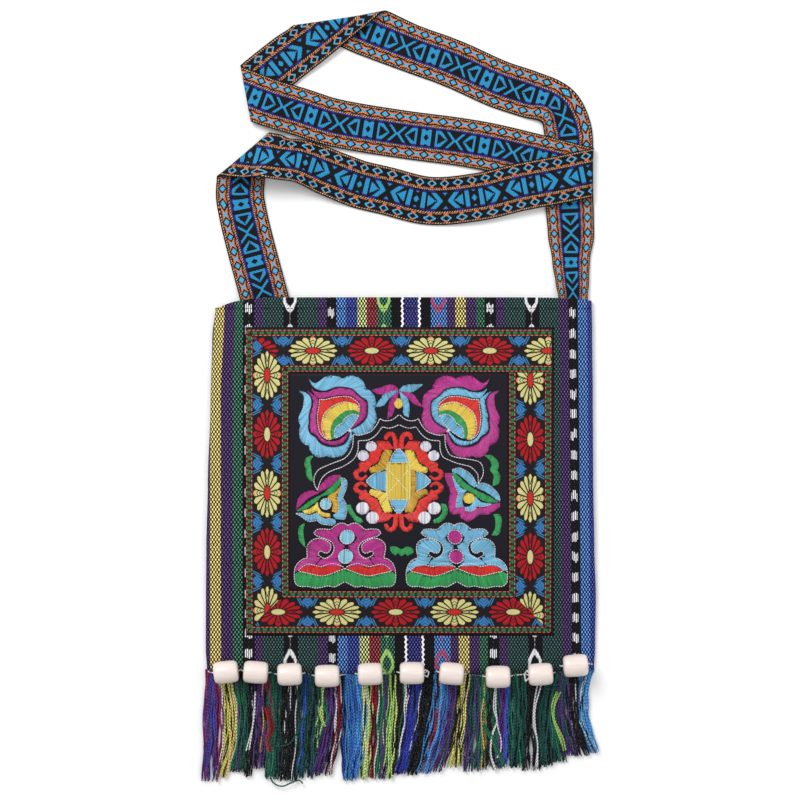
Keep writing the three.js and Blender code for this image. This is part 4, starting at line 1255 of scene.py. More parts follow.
# %% From runs of points to a finished piece of thread
def smooth_arc(spots, pieces=8):
    """A smooth line through a few places."""
    if len(spots) < 3:
        return spots
    ends = np.concatenate([[2 * spots[0] - spots[1]], spots, [2 * spots[-1] - spots[-2]]])
    t = np.linspace(0, 1, pieces, endpoint=False)[:, None]
    line = []
    for a, b, c, d in zip(ends, ends[1:], ends[2:], ends[3:]):
        line.append(b + t * (c - a) / 2 + t ** 2 * (a - 2.5 * b + 2 * c - d / 2)
                    + t ** 3 * (-a / 2 + 1.5 * b - 1.5 * c + d / 2))
    return np.concatenate(line + [spots[-1:]])


def lay_threads(name, runs, colours, fibre, radius, points,
                sides=4, arch=0.0, flatness=0.7, thickness=None):
    """One mesh piece of threads. runs are lines of points in millimetres, with a colour for each."""
    joined = np.concatenate(runs) * MM
    counts = [len(run) for run in runs]
    starts = np.concatenate([[0], np.cumsum(counts)])[:-1]
    edges = [(a + k, a + k + 1) for a, count in zip(starts, counts) for k in range(count - 1)]
    mesh = bpy.data.meshes.new(name)
    mesh.from_pydata(joined.tolist(), edges, [])
    tints = np.array(colours, dtype=np.float32)
    tints[:, 3] = np.random.default_rng(TWIST_SEED).random(len(tints))
    tints = np.repeat(tints, counts, axis=0)
    wide = np.ones(len(joined)) if thickness is None else np.concatenate(thickness)
    mesh.attributes.new("yarn_colour", "FLOAT_COLOR", "POINT").data.foreach_set("color", tints.ravel())
    mesh.attributes.new("thickness", "FLOAT", "POINT").data.foreach_set("value", wide.astype(np.float32))
    piece = new_object(name, mesh)
    modifier = piece.modifiers.new("LaidThreads", "NODES")
    modifier.node_group = threads_tree
    chosen = {"Thread Radius": radius * MM, "Points": points, "Sides": sides, "Arch": arch * MM,
              "Flatness": flatness, "Fibre": fibre}
    for item in threads_tree.interface.items_tree:
        if item.in_out == "INPUT" and item.name in chosen:
            modifier[item.identifier] = chosen[item.name]
    view = bpy.context.evaluated_depsgraph_get()
    made = bpy.data.meshes.new_from_object(
        piece.evaluated_get(view), preserve_all_data_layers=True, depsgraph=view)
    piece.modifiers.clear()
    piece.data = made
    made.name = name
    return piece


def fibre_material(name, roughness, gloss, twist, groove_shade):
    """Dyed fibre, coloured by its own attribute, with the plies' twist as grooves with painted shade, and
    painted white highlight on the fluff.
    """
    material, tree, shader = new_material(name, roughness, gloss)

    def attribute(title, output):
        node = tree.nodes.new("ShaderNodeAttribute")
        node.attribute_name = title
        return node.outputs[output]

    along, around = Wire(attribute("along_yarn", "Fac")), Wire(attribute("round_yarn", "Fac"))
    phase = Wire(attribute("yarn_colour", "Alpha"))
    ply = ((along / (twist * MM) + around + phase * 9.0) * (2 * pi)).through("SINE") * 0.5 + 0.5
    fluff_and_highlight = speckle(tree.nodes.new("ShaderNodeTexCoord").outputs["Object"], 1500.0)
    # Painted shade: the grooves between the plies are darkened.
    tone = paint(attribute("yarn_colour", "Color"), (1.0 - ply) * groove_shade, GROOVE_PAINTED_SHADE)
    # Painted highlight: the fluff mixes white into the colour; the same noise also roughens the bump.
    dress(shader, paint(tone, (fluff_and_highlight - 0.55) * 0.6, PURE_WHITE), ply + fluff_and_highlight * 0.4, 0.16)
    return material


warp_fibre = fibre_material("warp_yarn", 0.8, 0.12, 2.3, 0.8)
silk_fibre = fibre_material("embroidery_floss", 0.3, 0.6, 1.1, 0.3)
bead_fibre = fibre_material("white_bead_thread", 0.6, 0.3, 1.4, 0.3)

# %% [markdown]
# ## The bead thread
# A white thread goes straight through the bores, low in each, and rests on the cloth between the
# beads. At the bag's sides it is caught in the cloth, and at two beads a little slack loops out.

# %% The thread and its two loops
THREAD_RADIUS, THREAD_END = 0.5, 0.985
THREAD_LOW = BEAD_BORE / 2 - THREAD_RADIUS - SEAT
THREAD_WHITE = colour(244, 242, 240)
# beside a bead: how far out, and how high over the front. None is on the way down
DIP = ((0, 0.0), (1.2, None), (2.2, -0.9), (3.4, -1.0))


def on_front(x, y, over):
    return np.array([x, y, float(front_height(x, y)) + over])


def thread_route():
    """The thread goes down into the hem beside each bead and comes up again before the next."""
    route = [on_front(-THREAD_END * HALF_BAG, bead_spots[0][0][1], SEAT + THREAD_RADIUS)]
    for spot, turn in bead_spots:
        ahead = np.array([cos(turn), sin(turn), 0])
        low = spot - [0, 0, THREAD_LOW]
        for side in (-1, 1):
            for reach, depth in DIP[::side]:
                place = low + ahead * (side * (BEAD_LENGTH / 2 + reach))
                level = float(front_height(place[0], place[1]))
                if depth is None:
                    place[2] = mix(place[2], level, 0.55)
                elif reach:
                    place[2] = level + depth
                route.append(place)
    route.append(on_front(THREAD_END * HALF_BAG, bead_spots[-1][0][1], SEAT + THREAD_RADIUS))
    return np.array(route)


def slack_loop(number, side, sizes):
    """A loop of slack thread that leaves a bead's end, turns up beside it and goes back in."""
    spot, turn = bead_spots[number - 1]
    end = spot + np.array([cos(turn), sin(turn), 0]) * (side * BEAD_LENGTH / 2)
    wide, tall = sizes
    plan = [(-1.0, 0.0), (0.7, tall * 0.35), (wide, tall * 0.05), (wide * 0.7, -tall * 0.5),
            (-0.8, -tall * 0.2)]
    points = []
    for out, up in plan:
        x, y = end[0] + side * out, end[1] + up
        height = max(float(front_height(x, y)) + SEAT + THREAD_RADIUS, end[2] - 1.5 - out * 0.9)
        points.append((x, y, height))
    return np.array(points)


route = thread_route()
print("bead thread:", round(distances(route)[-1]), "mm long")
bead_thread = lay_threads(
    "white_bead_thread", [route, slack_loop(6, 1, (3.4, 6.0)), slack_loop(9, -1, (2.6, 9.0))],
    [THREAD_WHITE] * 3, bead_fibre, THREAD_RADIUS, 420, sides=6, flatness=0.9)
finish_piece(bead_thread, "bead_thread", "bead_thread")

# %% [markdown]
# ## The fringe
# The cloth's own warp ends hang below the hem, so each bundle has the colours of the stripe above
# it, with odd yarns of the doubled cloth's back among them. A bundle is given by its two edges at
# the hem, half way down and at its end. Every yarn in it is its own strand, with its own wander.

# %% Dyes and bundles
YARN_RADIUS, YARN_POINTS, YARNS_PER_MM = 0.53, 16, 2.9
FRINGE_DYES = {
    "P": colour(88, 50, 126), "M": colour(160, 34, 72), "B": colour(46, 84, 190), "S": colour(72, 150, 226),
    "Y": colour(252, 220, 112), "C": colour(240, 234, 196), "L": colour(194, 240, 124),
    "G": colour(34, 120, 84), "T": colour(22, 82, 76), "O": colour(196, 156, 90),
    "I": colour(44, 50, 160), "K": BLACK, "W": WHITE, "R": RED}

# millimetres across the bag: the edges at the hem, half way and at the end, the length, the dyes
BUNDLES = (
    (-136, -126, -137, -124, -138, -128, 78, "PPMPPPBPPMPPW"),
    (-129, -119, -123, -114, -129, -122, 75, "YYKYYCY"),
    (-120, -115, -117, -111, -123, -115, 71, "PKPK"), (-118, -107, -115, -106, -118, -108, 71, "GPGKGT"),
    (-107, -102, -107, -102, -109, -104, 74, "WKKWK"), (-102, -94, -103, -92, -104, -95, 68, "PKPOPK"),
    (-95, -93, -92, -89, -92, -90, 55, "RM"), (-94, -82, -92, -82, -94, -83, 75, "TTGTKT"),
    (-83, -70, -83, -71, -84, -73, 76, "KWKWKWKWK"), (-71, -56, -72, -56, -74, -61, 74, "TTBTTKT"),
    (-56, -52, -57, -51, -60, -57, 52, "TLG"), (-55, -43, -53, -46, -62, -55, 72, "PPKPWP"),
    (-48, -41, -46, -40, -52, -47, 72, "KWKGRWK"), (-42, -26, -41, -23, -39, -30, 75, "KBSBSSBS"),
    (-27, -19, -26, -19, -28, -21, 74, "LCKLCL"), (-20, -14, -20, -15, -21, -18, 73, "RRRRW"),
    (-15, -2, -15, -3, -18, -6, 74, "GLGPGLKL"), (-3, 4, -4, 3, -7, -2, 71, "KKKG"),
    (3, 7, 2, 5, -4, -1, 67, "WWK"), (6, 15, 4, 13, -3, 5, 70, "IIKIBI"), (14, 17, 12, 15, 3, 6, 66, "WWK"),
    (17, 25, 14, 21, 5, 12, 71, "KKKKK"), (24, 35, 20, 33, 12, 21, 70, "SKMSMPSB"),
    (34, 40, 33, 38, 22, 29, 69, "PPPT"), (40, 49, 39, 47, 31, 45, 66, "YKYYCYKY"),
    (48, 57, 47, 57, 45, 54, 69, "PTPT"), (56, 62, 56, 62, 54, 60, 68, "GOTK"),
    (60, 66, 58, 66, 66, 73, 68, "GGKG"), (64, 69, 63, 69, 60, 70, 66, "KKG"),
    (69, 77, 70, 76, 66, 75, 66, "PPPB"), (76, 89, 75, 88, 73, 88, 67, "TTGTKTT"),
    (89, 98, 88, 96, 86, 98, 69, "KKWKK"), (98, 112, 95, 106, 97, 107, 67, "TTKTTKT"),
    (108, 116, 104, 113, 107, 116, 64, "TKGT"), (111, 119, 110, 118, 114, 124, 60, "PPTP"),
    (119, 126, 117, 124, 124, 133, 60, "KWKWK"), (125, 136, 123, 131, 132, 139, 58, "SSWSS"))

# strands that stray over the others: a dye, how many, and places across and up the bag
STRAYS = (
    ("L", 3, "110,-145 106,-155 107,-166 111,-177 114,-186"),
    ("L", 2, "-55,-154 -56,-159 -55,-165 -53,-169"), ("G", 2, "-54,-154 -51,-162 -54,-170"),
    ("T", 1, "-92,-200 -90,-208 -83,-211 -76,-209 -71,-207 -68,-209"),
    ("T", 1, "-92,-178 -87,-182 -82,-183 -77,-181 -69,-167 -61,-152"),
    ("R", 3, "-94,-156 -91,-169 -93,-179 -92,-187"),
    ("W", 2, "66,-140 66,-156 67,-166 64,-175 63,-188 65,-199"),
    ("W", 1, "67,-166 69,-171 71,-178 70,-185 68,-192"), ("G", 3, "57,-168 64,-179 71,-196"),
    ("W", 2, "97,-141 93,-156 93,-169 96,-181 95,-197"), ("W", 2, "-102,-145 -103,-165 -107,-186"),
    ("O", 1, "58,-150 56,-165 58,-185"))
chance = np.random.default_rng(7)


def places_in(text):
    """The places of a chart, from a text of pairs."""
    return np.array([[float(part) for part in word.split(",")] for word in text.split()])


def dyed_yarn(letter):
    tint = np.array(FRINGE_DYES[letter])
    tint[:3] *= chance.uniform(0.95, 1.1) if letter in "WC" else chance.uniform(0.7, 1.8)
    return np.clip(tint, 0, 1)


def yarn_run(bundle, share):
    """One yarn from the hem to its ragged end, as points and thicknesses."""
    left, right, mid_left, mid_right, end_left, end_right, length, dyes = bundle
    at = np.clip(share + np.cumsum([0, chance.normal(0, 0.16), chance.normal(0, 0.2)]), 0, 1)
    hem, middle = mix(left, right, at[0]), mix(mid_left, mid_right, at[1])
    end = mix(end_left, end_right, at[2])
    length *= 1 - abs(chance.normal(0, 0.03)) - 0.12 * (chance.random() < 0.1)
    down = np.linspace(0, 1, YARN_POINTS)
    bend = (middle - mix(hem, end, 0.45)) / (0.45 * 0.55)
    wander = 0.7 * np.sin(down * chance.uniform(8, 20) + chance.uniform(0, 6))
    xs = mix(hem, end, down) + bend * down * (1 - down) + wander * smooth(down * 4)
    ys = float(hem_y(hem / HALF_BAG)) + 0.6 - (length + 0.6) * down
    zs = mix(chance.uniform(0.7, 1.9), chance.uniform(0.5, 2.9), smooth(down * 4))
    zs = np.maximum(zs + 0.22 * np.sin(down * 14 + chance.uniform(0, 6)), YARN_RADIUS + 0.03)
    thickness = chance.uniform(0.8, 1.15) * (1 - 0.4 * smooth((down - 0.88) / 0.12))
    letter = dyes[min(int(share * len(dyes) + chance.normal(0, 0.3)), len(dyes) - 1)]
    if letter == "W" and chance.random() < 0.55:
        letter = "K"
    return np.stack([xs, ys, zs], axis=1), thickness, dyed_yarn(letter)


# %% The yarns of the fringe
made = []
for bundle in BUNDLES:
    count = round((bundle[1] - bundle[0] + 1) * YARNS_PER_MM)
    made += [yarn_run(bundle, (k + chance.random()) / count) for k in range(count)]
fringe_yarns = lay_threads(
    "fringe_yarns", [run for run, _, _ in made], [tint for _, _, tint in made], warp_fibre,
    YARN_RADIUS, YARN_POINTS, flatness=0.85, thickness=[wide for _, wide, _ in made])
finish_piece(fringe_yarns, "fringe_yarn", "fringe")

strays, stray_tints = [], []
for letter, number, text in STRAYS:
    spots = places_in(text)
    for k in range(number):
        line = smooth_arc(spots + chance.normal(0, 0.45, spots.shape) + [k * 1.1, 0])
        strays.append(np.column_stack([line, np.full(len(line), 3.1 + 0.3 * k)]))
        stray_tints.append(dyed_yarn(letter))
stray_yarns = lay_threads(
    "stray_yarns", strays, stray_tints, warp_fibre, YARN_RADIUS, 24, flatness=0.85)
finish_piece(stray_yarns, "fringe_yarn")
for name, runs in (("yarns", [run for run, _, _ in made]), ("strays", strays)):
    lengths = [distances(run)[-1] for run in runs]
    print(len(runs), name, "of", round(min(lengths)), "to", round(max(lengths)), "mm")

# %% [markdown]
# ## Satin-stitch embroidery
# Each shape on the satin is filled with floss that goes straight from one edge to the other, and
# many shapes have a white running stitch round them. The shapes are charted on squares of
# 0.35 mm, counted right and down. A shape is two edges, and the floss is laid between them, one
# thread beside the other, so its direction turns with the shape as it does under a needle.

# %% Charting words
SQUARE = 0.35
FLOSS_PITCH, FLOSS_RADIUS, FLOSS_ARCH = 0.72, 0.4, 0.45
FLOSS = {
    "cyan": colour(124, 196, 232), "magenta": colour(192, 34, 144), "red": colour(234, 36, 26),
    "yellow": colour(254, 218, 84), "gold": colour(220, 172, 46), "green": colour(44, 170, 90),
    "ice": colour(156, 220, 244), "lilac": colour(236, 234, 250), "navy": colour(20, 18, 52),
    "white": PURE_WHITE}
MIRROR_LINE = -0.6
SHORTEST_STITCH = 0.3
# Some stitches get a thin dark thread on top: painted shade for the gaps between stitches.
PAINTED_GAP_SHARE, PAINTED_GAP_SHADE = 0.34, (0.22, 0.22, 0.22, 1)


def chart(right, up, flip=1, rise=1, lean=0.0, level=0.0):
    """Turns squares into millimetres on the bag. A chart may be mirrored, and lean above a level."""
    def place(points):
        points = np.array(points, dtype=float)
        points[:, 0] = points[:, 0] * flip + lean * np.maximum(level - points[:, 1], 0)
        return points * [SQUARE, -SQUARE * rise] + [right, up]
    return place


def mirrored(place):
    return lambda points: place(points) * [-1, 1] + [2 * MIRROR_LINE, 0]


def drawn_edge(place, line):
    """A smooth line through charted places. In a text of places, a bar is a sharp notch."""
    if not isinstance(line, str):
        return smooth_arc(place(line))
    arcs, notch = [], np.empty((0, 2))
    for text in line.split("|"):
        arc = np.concatenate([notch, places_in(text)])
        arcs.append(smooth_arc(place(arc)))
        notch = arc[-1:]
    return np.concatenate(arcs)


def stepped(line, count):
    """The line at even steps along it."""
    lengths = distances(line)
    at = np.linspace(0, lengths[-1], count)
    return np.stack([np.interp(at, lengths, line[:, k]) for k in (0, 1)], axis=1)


class Hoop:
    """The threads of one piece of embroidery, gathered as they are sewn."""

    def __init__(self, seed):
        self.runs, self.tints, self.widths = [], [], []
        self.hand = np.random.default_rng(seed)

    def sew(self, start, end, tint, over=0.0, width=1.0):
        spots = np.array([start, end])
        base = front_height(spots[:, 0], spots[:, 1]) + SEAT + PANEL_THICK + FLOSS_RADIUS * 0.4
        self.runs.append(np.column_stack([spots, base + over]))
        shade = np.array(tint)
        shade[:3] *= max(0.3, 1 + self.hand.normal(0, 0.16))
        self.tints.append(np.clip(shade, 0, 1))
        self.widths.append(np.array([width, width]))

    def fill(self, place, tone, first, second, pitch=FLOSS_PITCH, over=0.0):
        """Satin stitch between two edges, with short dark threads on top as painted shade of gaps where the
        outer ends spread.
        """
        a, b = drawn_edge(place, first), drawn_edge(place, second)
        count = max(3, int(max(distances(a)[-1], distances(b)[-1]) / pitch))
        a, b = stepped(a, count), stepped(b, count)
        dark = np.array(FLOSS[tone]) * PAINTED_GAP_SHADE
        for start, end in zip(a, b):
            span, long = end - start, hypot(*(end - start))
            if long <= SHORTEST_STITCH:
                continue
            ends = self.hand.uniform(-0.22, 0.22, 2) / max(long, 0.6)
            outer = start - span * ends[0]
            self.sew(outer, end + span * ends[1], FLOSS[tone], over, self.hand.uniform(0.85, 1.1))
            # Painted shade: a thin dark thread laid over the stitch's outer end stands for a gap.
            if self.hand.random() < PAINTED_GAP_SHARE:
                reach = min(1.0, self.hand.uniform(0.8, 2.2) / long)
                self.sew(outer, start + span * reach, dark, over + 0.16, 0.42)

    def disc(self, place, tone, middle, wide, tall=None, rim=False):
        """Satin stitch across a round spot."""
        turn = np.linspace(0.02, pi - 0.02, 24)
        tall = tall or wide
        upper = [(middle[0] - wide * cos(a), middle[1] - tall * sin(a)) for a in turn]
        lower = [(x, 2 * middle[1] - y) for x, y in upper]
        self.fill(place, tone, upper, lower, pitch=0.6)
        if rim:
            self.outline(place, "white", upper + lower[::-1])

    def outline(self, place, tone, line, stitch=1.1, gap=0.62, width=0.75):
        """Running stitch along a line."""
        line = drawn_edge(place, line)
        count = max(2, int(distances(line)[-1] / (stitch + gap)))
        fine = stepped(line, count * 8 + 1)
        share = int(round(8 * stitch / (stitch + gap)))
        for k in range(count):
            self.sew(fine[8 * k], fine[8 * k + share], FLOSS[tone], over=0.36, width=width)

    def done(self, name):
        piece = lay_threads(name, self.runs, self.tints, silk_fibre, FLOSS_RADIUS, 4, arch=FLOSS_ARCH,
                            flatness=0.62, thickness=self.widths)
        print(name, len(self.runs), "stitches")
        finish_piece(piece, "panel_satin")


# %% [markdown]
# The two peach flowers at the top are the same chart, worked in mirror image, with their outer
# colours exchanged. Bands of colour follow one another from the outer petals to the core.

# %% Peach flowers
TOP_OUTER = ("50,24 56,32 65,35 75,29 87,21 100,20 110,22 119,26 | 130,21 142,21 155,27 162,37 165,47 | "
             "175,52 182,62 184,77 181,87 | 185,100 184,112 177,125 167,134 155,137 145,136 135,130")
TOP_SEAM = ("50,24 53,33 60,43 72,49 84,50 95,46 107,42 122,43 137,46 147,55 156,63 166,69 168,82 167,97 "
            "162,108 151,118 136,126")
SIDE_OUTER = ("31,49 41,60 41,72 39,85 32,100 31,110 35,120 | 32,130 34,145 41,155 52,159 | 55,170 65,180 "
              "75,182 86,179 | 97,182 110,181 122,175 130,162 136,150 137,137 134,130")
SIDE_SEAM = ("31,49 42,51 50,56 55,62 57,75 54,88 51,100 52,110 50,122 54,135 65,142 72,152 85,159 100,161 "
             "112,159 122,155 129,145 133,133")
TOP_PETAL = ("54,40 60,50 72,53 92,51 107,44 122,45 137,48 146,57 155,65 164,71 166,82 165,97 160,107 "
             "149,116 136,125")
TOP_HEART = "54,40 61,55 70,64 82,64 100,60 117,58 132,59 145,66 152,76 153,86 151,99 145,110 136,122"
SIDE_PETAL = ("46,49 54,58 59,67 60,76 57,88 54,100 55,110 53,122 57,133 67,139 75,149 87,155 100,158 "
              "112,156 120,151 126,143 132,132")
SIDE_HEART = "46,49 58,57 69,66 68,80 65,100 66,115 69,130 76,143 87,149 100,150 112,147 124,138 132,130"
HEART = "151,87 151,77 144,69 132,62 117,61 100,63 84,67 72,67 | 71,80 68,100 69,115 72,130 79,141 89,147"
RED_INNER = "151,87 146,78 135,74 120,72 105,77 92,85 82,95 77,110 77,125 82,140 90,147"
YELLOW_INNER = "151,92 140,88 127,89 117,94 107,102 100,110 95,122 94,135 96,145"
GREEN_INNER = "150,99 140,96 130,99 122,105 117,114 107,120 102,130 102,143"
CORE = "150,99 144,110 135,122 130,127 117,137 104,144"
PEACH_CHART = chart(-81.2, 82.65)


def sew_peach(hoop, place, petals, inner_petals):
    for tone, first, second in (
            (petals, TOP_OUTER, TOP_SEAM), (petals, SIDE_OUTER, SIDE_SEAM),
            (inner_petals, TOP_PETAL, TOP_HEART), (inner_petals, SIDE_PETAL, SIDE_HEART),
            ("red", HEART, RED_INNER), ("yellow", RED_INNER, YELLOW_INNER),
            ("green", YELLOW_INNER, GREEN_INNER), ("cyan", GREEN_INNER, CORE)):
        hoop.fill(place, tone, first, second)
    for seam in (TOP_SEAM, SIDE_SEAM):
        hoop.outline(place, "navy", seam, stitch=1.6, gap=0.0, width=0.8)
    for seam in (HEART, RED_INNER, GREEN_INNER, CORE):
        hoop.outline(place, "white", seam)
    hoop.disc(place, "white", (133, 129), 3)


flowers = Hoop(11)
sew_peach(flowers, PEACH_CHART, "cyan", "magenta")
sew_peach(flowers, mirrored(PEACH_CHART), "magenta", "cyan")
flowers.done("peach_flowers")

# %% [markdown]
# The collar that runs round the middle is two lines of white stem stitch. At its top stands a knot
# of six leaves with a yellow bud. The butterflies sit in the collar's lower ends.

# %% Collar, knot and butterflies
middle_piece = Hoop(12)
COLLAR_ENDS = (
    ("68,247 62,235 62,220 70,207 85,199 105,191 120,185 ",
     "68,247 75,227 85,215 100,207 117,201 135,190 "),
    ("73,234 65,220 63,210 65,199 71,191 84,187 103,184 120,181 ",
     "73,234 74,217 80,208 90,200 102,197 117,193 134,186 "))
COLLAR_OUTER = ("130,176 137,163 139,150 139,136 | 149,138 160,136 175,130 186,117 192,105 | 200,109 "
                "210,109 219,106 230,97")
COLLAR_INNER = "144,180 149,165 149,149 | 170,147 185,137 197,121 | 208,124 219,122 230,117"
for place, (outer_end, inner_end) in zip((PEACH_CHART, mirrored(PEACH_CHART)), COLLAR_ENDS):
    for line in (outer_end + COLLAR_OUTER, inner_end + COLLAR_INNER):
        middle_piece.outline(place, "white", line, stitch=1.3, gap=0.55)

KNOT = (
    ("magenta", "63,28 80,24 100,17 113,22 117,30", "63,28 80,37 100,34 117,30"),
    ("cyan", "118,29 127,20 143,17 166,17", "118,29 127,33 147,31 166,17"),
    ("cyan", "71,62 83,43 93,32 108,27 117,30", "71,62 87,59 98,45 110,36 117,30"),
    ("magenta", "167,62 159,54 150,41 140,33 120,29", "167,62 150,57 140,48 127,38 120,29"),
    ("magenta", "95,86 97,63 102,43 117,31", "95,86 106,76 111,60 117,31"),
    ("cyan", "137,83 139,63 135,45 118,30", "137,83 127,76 126,60 118,30"),
    ("green", "101,339 112,339 123,344 135,339 146,344",
     "102,349 110,356 116,352 123,358 130,353 136,357 146,351"))
LEFT_BUTTERFLY = (
    ("magenta", "58,46 61,38 69,29 77,21 89,17 100,17 102,19", "58,52 63,49 74,44 83,38 91,29 101,21"),
    ("magenta", "57,51 49,48 37,49 26,54 19,62 15,74 14,84", "56,54 47,58 34,66 23,77 15,85"),
    ("green", "16,87 26,80 40,69 54,61 63,57 74,48 86,37 94,28 102,20",
     "16,89 24,88 36,82 47,75 57,67 63,60 | 71,58 83,55 91,48 100,37 103,26"),
    ("yellow", "27,89 34,94 43,94 54,88 | 61,97 71,100 81,101",
     "27,88 40,84 50,78 56,71 | 58,80 63,88 71,92 80,93"),
    ("gold", "103,40 100,49 95,60 97,72 98,84 96,92", "103,38 92,50 76,61 84,68 87,76 85,88"),
    ("cyan", "104,23 112,25 115,33 113,45 109,55 106,62 | 112,72 115,84 113,96 110,105",
     "104,27 103,41 99,53 96,62 | 98,74 98,86 93,93 88,97 92,103"),
    ("cyan", "14,94 26,101 37,109 46,109 55,107 | 64,114 77,116 88,117 92,112",
     "14,93 27,93 37,97 46,96 55,92 | 61,99 71,104 82,103 90,106"),
    ("green", "31,112 20,120 18,135 22,150 33,162", "31,112 28,126 29,142 33,162"))
RIGHT_BUTTERFLY = (
    ("cyan", "48,58 54,56 64,55 74,60 84,67 92,78 96,87", "49,63 61,68 73,78 84,88 92,93 95,89"),
    ("cyan", "95,90 101,86 110,85 121,89 132,98 140,108 143,120",
     "95,92 99,96 110,100 121,107 132,115 141,121"),
    ("green", "49,63 58,69 68,79 81,90 95,99 110,106 124,113 138,122",
     "48,66 55,79 67,93 78,100 91,106 101,115 113,122 124,124 137,124"),
    ("cyan", "48,72 53,88 57,100 60,104 56,120 55,134",
     "50,72 58,85 67,96 76,100 | 72,105 68,115 68,124 70,131"),
    ("cyan", "74,139 84,141 93,137 98,130", "74,132 82,131 89,124 94,112"),
    ("cyan", "98,131 108,132 118,130 126,127", "94,112 100,119 109,124 126,126"),
    ("magenta", "33,66 35,80 42,95 44,105 41,120 41,134 48,147 62,145 | "
     "65,154 77,161 88,157 102,148 117,148 127,143 142,133",
     "47,66 50,79 55,95 59,104 56,120 55,134 64,134 72,131 | "
     "75,139 81,142 91,139 100,133 110,134 124,128 141,124"),
    ("green", "111,30 126,30 137,40 140,51 137,60 | 143,71 140,86 127,91",
     "111,30 123,40 126,51 123,59 130,69 129,83 127,91"),
    ("green", "129,147 142,148 146,160 144,178 138,188 127,189", "129,147 133,155 134,170 130,182 127,189"))
LEFT_CHART, RIGHT_CHART, KNOT_CHART = chart(-77.0, 12.65), chart(19.6, 30.85), chart(-42.0, 75.65)
WING_EDGES = (
    (LEFT_CHART, "104,27 103,41 99,53 96,62 | 98,74 98,86"),
    (LEFT_CHART, "14,93 27,93 37,97 46,96 55,92 | 61,99 71,104 82,103"),
    (LEFT_CHART, LEFT_BUTTERFLY[5][1]),
    (LEFT_CHART, "14,94 26,101 37,109 46,109 55,107 | 64,114 77,116 88,117"),
    (RIGHT_CHART, RIGHT_BUTTERFLY[0][1]), (RIGHT_CHART, RIGHT_BUTTERFLY[3][1]),
    (RIGHT_CHART, RIGHT_BUTTERFLY[1][1]), (RIGHT_CHART, "74,139 84,141 93,137 98,130 | 108,132 126,127"))
for place, shapes in ((KNOT_CHART, KNOT), (LEFT_CHART, LEFT_BUTTERFLY), (RIGHT_CHART, RIGHT_BUTTERFLY)):
    for tone, first, second in shapes:
        middle_piece.fill(place, tone, first, second)
middle_piece.disc(KNOT_CHART, "yellow", (117, 55), 8, 10)
for place, line in WING_EDGES:
    middle_piece.outline(place, "white", line, width=0.55)
middle_piece.disc(LEFT_CHART, "ice", (72.5, 74.5), 10.7, rim=True)
middle_piece.disc(RIGHT_CHART, "yellow", (81, 115), 10.7)
middle_piece.fill(PEACH_CHART, "green", "60,179 48,181 42,192 45,205 | 46,216 50,225 59,230",
                  "60,179 54,190 56,205 57,216 59,230")

# %% [markdown]
# The round flower in the middle has four-fold symmetry, so a quarter is charted from its centre and
# mirrored to the other three.

# %% Round flower
ROUND_RIGHT, ROUND_UP = -1.05, 2.5
BAND = ("21,-79 42,-79 41,-71 45,-63 | 56,-58 60,-47 66,-39 76,-37 | 79,-32 75,-24",
        "12,-66 20,-64 31,-61 36,-52 39,-42 | 44,-36 54,-31 60,-24 65,-17")
RING = ("69,-28 80,-25 88,-19 89,-11 84,-4 76,-1 68,-3 62,-9",
        "68,-20 76,-18 80,-15 80,-11 77,-8 73,-7 69,-8 65,-12")
HORN = ("42,-79 28,-78 19,-72 11,-67 2,-64", "30,-62 22,-63 14,-64 9,-64 2,-60")
CURL = ("0,-63 1,-80 4,-90 9,-96 17,-98 24,-95 28,-89 28,-83",
        "10,-65 10,-76 11,-84 13,-88 16,-90 19,-88 21,-86 22,-83")
BENT_OUTER = "15,-62 22,-62 28,-61 33,-53 37,-43 41,-35 47,-31 58,-26 | 57,-20 54,-16"
BENT_INNER = "13,-57 17,-48 20,-38 | 21,-30 22,-24 | 30,-22 36,-20 45,-18 54,-16"
BERRIES = {1: (10.3, (54, -69), (70, -50.5)), -1: (12.3, (51, -72.5), (71, -54))}
SEAMS = ("0,0 20,-23", "17,-38 12,-52 1,-66", "36,-20 52,-12 65,0", "0,-37 22,-37 | 23,-18 23,0")


def round_chart(flip=1, rise=1, drop=0.0):
    return chart(ROUND_RIGHT, ROUND_UP - drop, flip, rise)


middle = round_chart()
middle_piece.fill(middle, "yellow", "-24,-23 -22,-37 0,-37 22,-37 23,-23", "-24,23 -20,36 0,36 22,36 23,23")
middle_piece.fill(middle, "gold", "23,-23 25,0 23,23", "32,-22 37,0 32,22")
for rise in (1, -1):
    middle_piece.fill(round_chart(rise=rise), "cyan", "-17,-38 -12,-52 1,-66", "21,-38 15,-52 1,-66")
for flip, base in ((1, 36), (-1, 24)):
    middle_piece.fill(round_chart(flip), "cyan", f"{base},-21 52,-13 65,0", f"{base},21 52,13 65,0")
    for rise in (1, -1):
        place, low = round_chart(flip, rise), round_chart(flip, rise, 0.9 * (rise < 0))
        middle_piece.fill(place, "gold" if flip * rise < 0 else "yellow", BENT_OUTER, BENT_INNER)
        for chart_of, shape in ((place, BAND), (place, RING), (low, HORN), (low, CURL)):
            middle_piece.fill(chart_of, "red", *shape)
        size, *spots = BERRIES[rise]
        for spot in spots:
            middle_piece.disc(place, "lilac", spot, size)
        for line in SEAMS:
            middle_piece.outline(place, "white", line)
for first, second in (
        ("87,45 95,48 98,58 95,70 84,81 71,84", "84,46 87,56 85,66 78,73 70,77"),
        ("-103,48 -99,62 -90,74 -82,83 -72,82", "-95,48 -90,60 -82,70 -75,74 -72,79")):
    middle_piece.fill(middle, "green", first, second)
middle_piece.done("round_flower_and_butterflies")

# %% [markdown]
# The two clouds at the bottom stand on a red band and a green bank. Half a cloud is charted and
# mirrored, and the second cloud takes the other colour. A white running stitch follows each edge,
# and winds in with the curls.

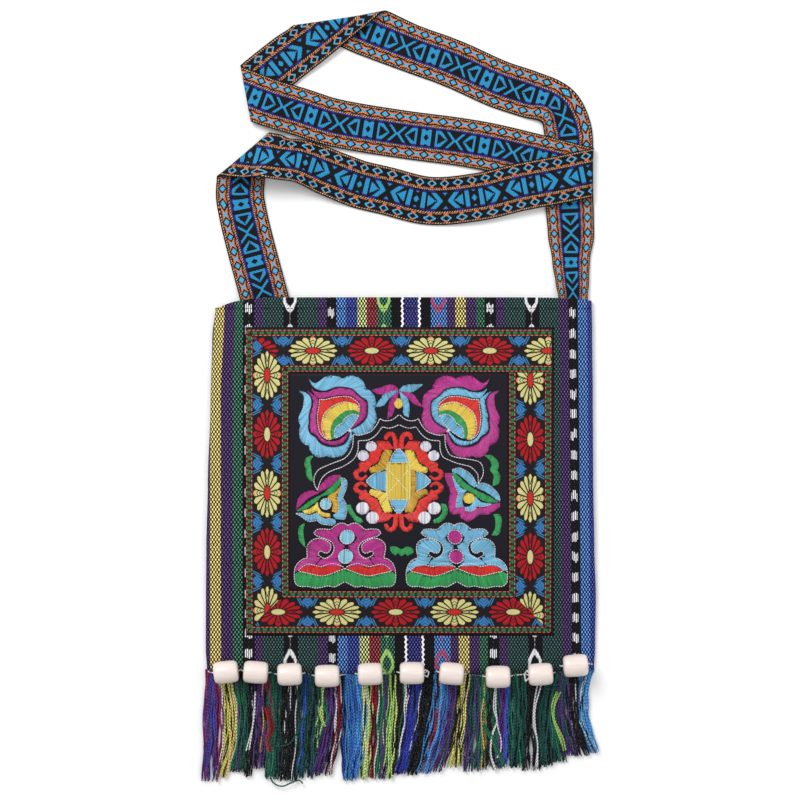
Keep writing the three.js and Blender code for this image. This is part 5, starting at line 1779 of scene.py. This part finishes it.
# %% Clouds
CLOUD_HALF = (
    ("body", "0,169 8,165 18,165 27,171 34,178", "0,175 6,178 12,183 17,189 22,196"),
    ("body", "34,178 47,177 60,178 67,184", "22,196 33,200 45,195 67,184"),
    ("body", "20,193 14,203 3,211 12,221 14,231 11,243 6,250",
     "32,198 27,206 25,216 29,227 40,234 50,239 56,248"),
    ("body", "76,234 78,222 77,212 72,202 60,196 47,197 35,203",
     "60,238 56,228 51,220 42,223 35,222 31,216 31,208 35,203"),
    ("body", "76,234 84,236 93,243 99,253 100,262", "50,233 54,242 62,248 80,252 100,262"),
    ("red", "5,254 15,248 29,246 46,252 58,250 72,248 83,251 92,261",
     "5,255 15,260 26,264 41,269 58,269 72,265 92,261"),
    ("green", "0,256 16,262 29,267 46,271 63,268 80,264 92,262 101,268",
     "0,280 12,287 22,291 35,289 47,292 60,293 75,290 90,290 99,284 101,268"))
CLOUD_EDGES = (
    "0,169 8,165 18,165 27,171 | 35,177 47,176 60,177 67,184 | 60,190 45,195 33,200 27,206 24,216 "
    "29,228 40,235 50,231 55,226 51,220 42,224 35,223 31,216 31,208 35,203 47,196 60,195 72,201 "
    "78,212 76,234",
    "76,234 84,236 93,243 99,253 101,268 99,284 90,291 75,291 60,294 47,293 35,290 22,292 12,288 0,281",
    "0,255 16,261 29,266 46,270 63,267 80,263 92,261",
    "3,252 15,247 29,245 46,251 58,249 72,246 83,250 94,261")
CLOUD_UP, CLOUD_LEVEL = 30.85, 250
CLOUDS = ((-38.3, "magenta", "ice", 0.075), (39.6, "cyan", "magenta", -0.07))
clouds = Hoop(13)
for middle, body, spots, lean in CLOUDS:
    for flip in (1, -1):
        place = chart(middle, CLOUD_UP, flip, lean=lean, level=CLOUD_LEVEL)
        for tone, first, second in CLOUD_HALF:
            clouds.fill(place, body if tone == "body" else tone, first, second)
        for line in CLOUD_EDGES:
            clouds.outline(place, "white", line)
    for up in (192, 231):
        clouds.disc(place, spots, (0, up), 14, rim=True)
clouds.done("embroidered_clouds")

# %% [markdown]
# ## Sizes and the end
# The box of the dressed bag is kept beside the box of the solids, so the two can be compared.

# %% Both boxes side by side
size = {"cad": cad_box, "visual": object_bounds()}
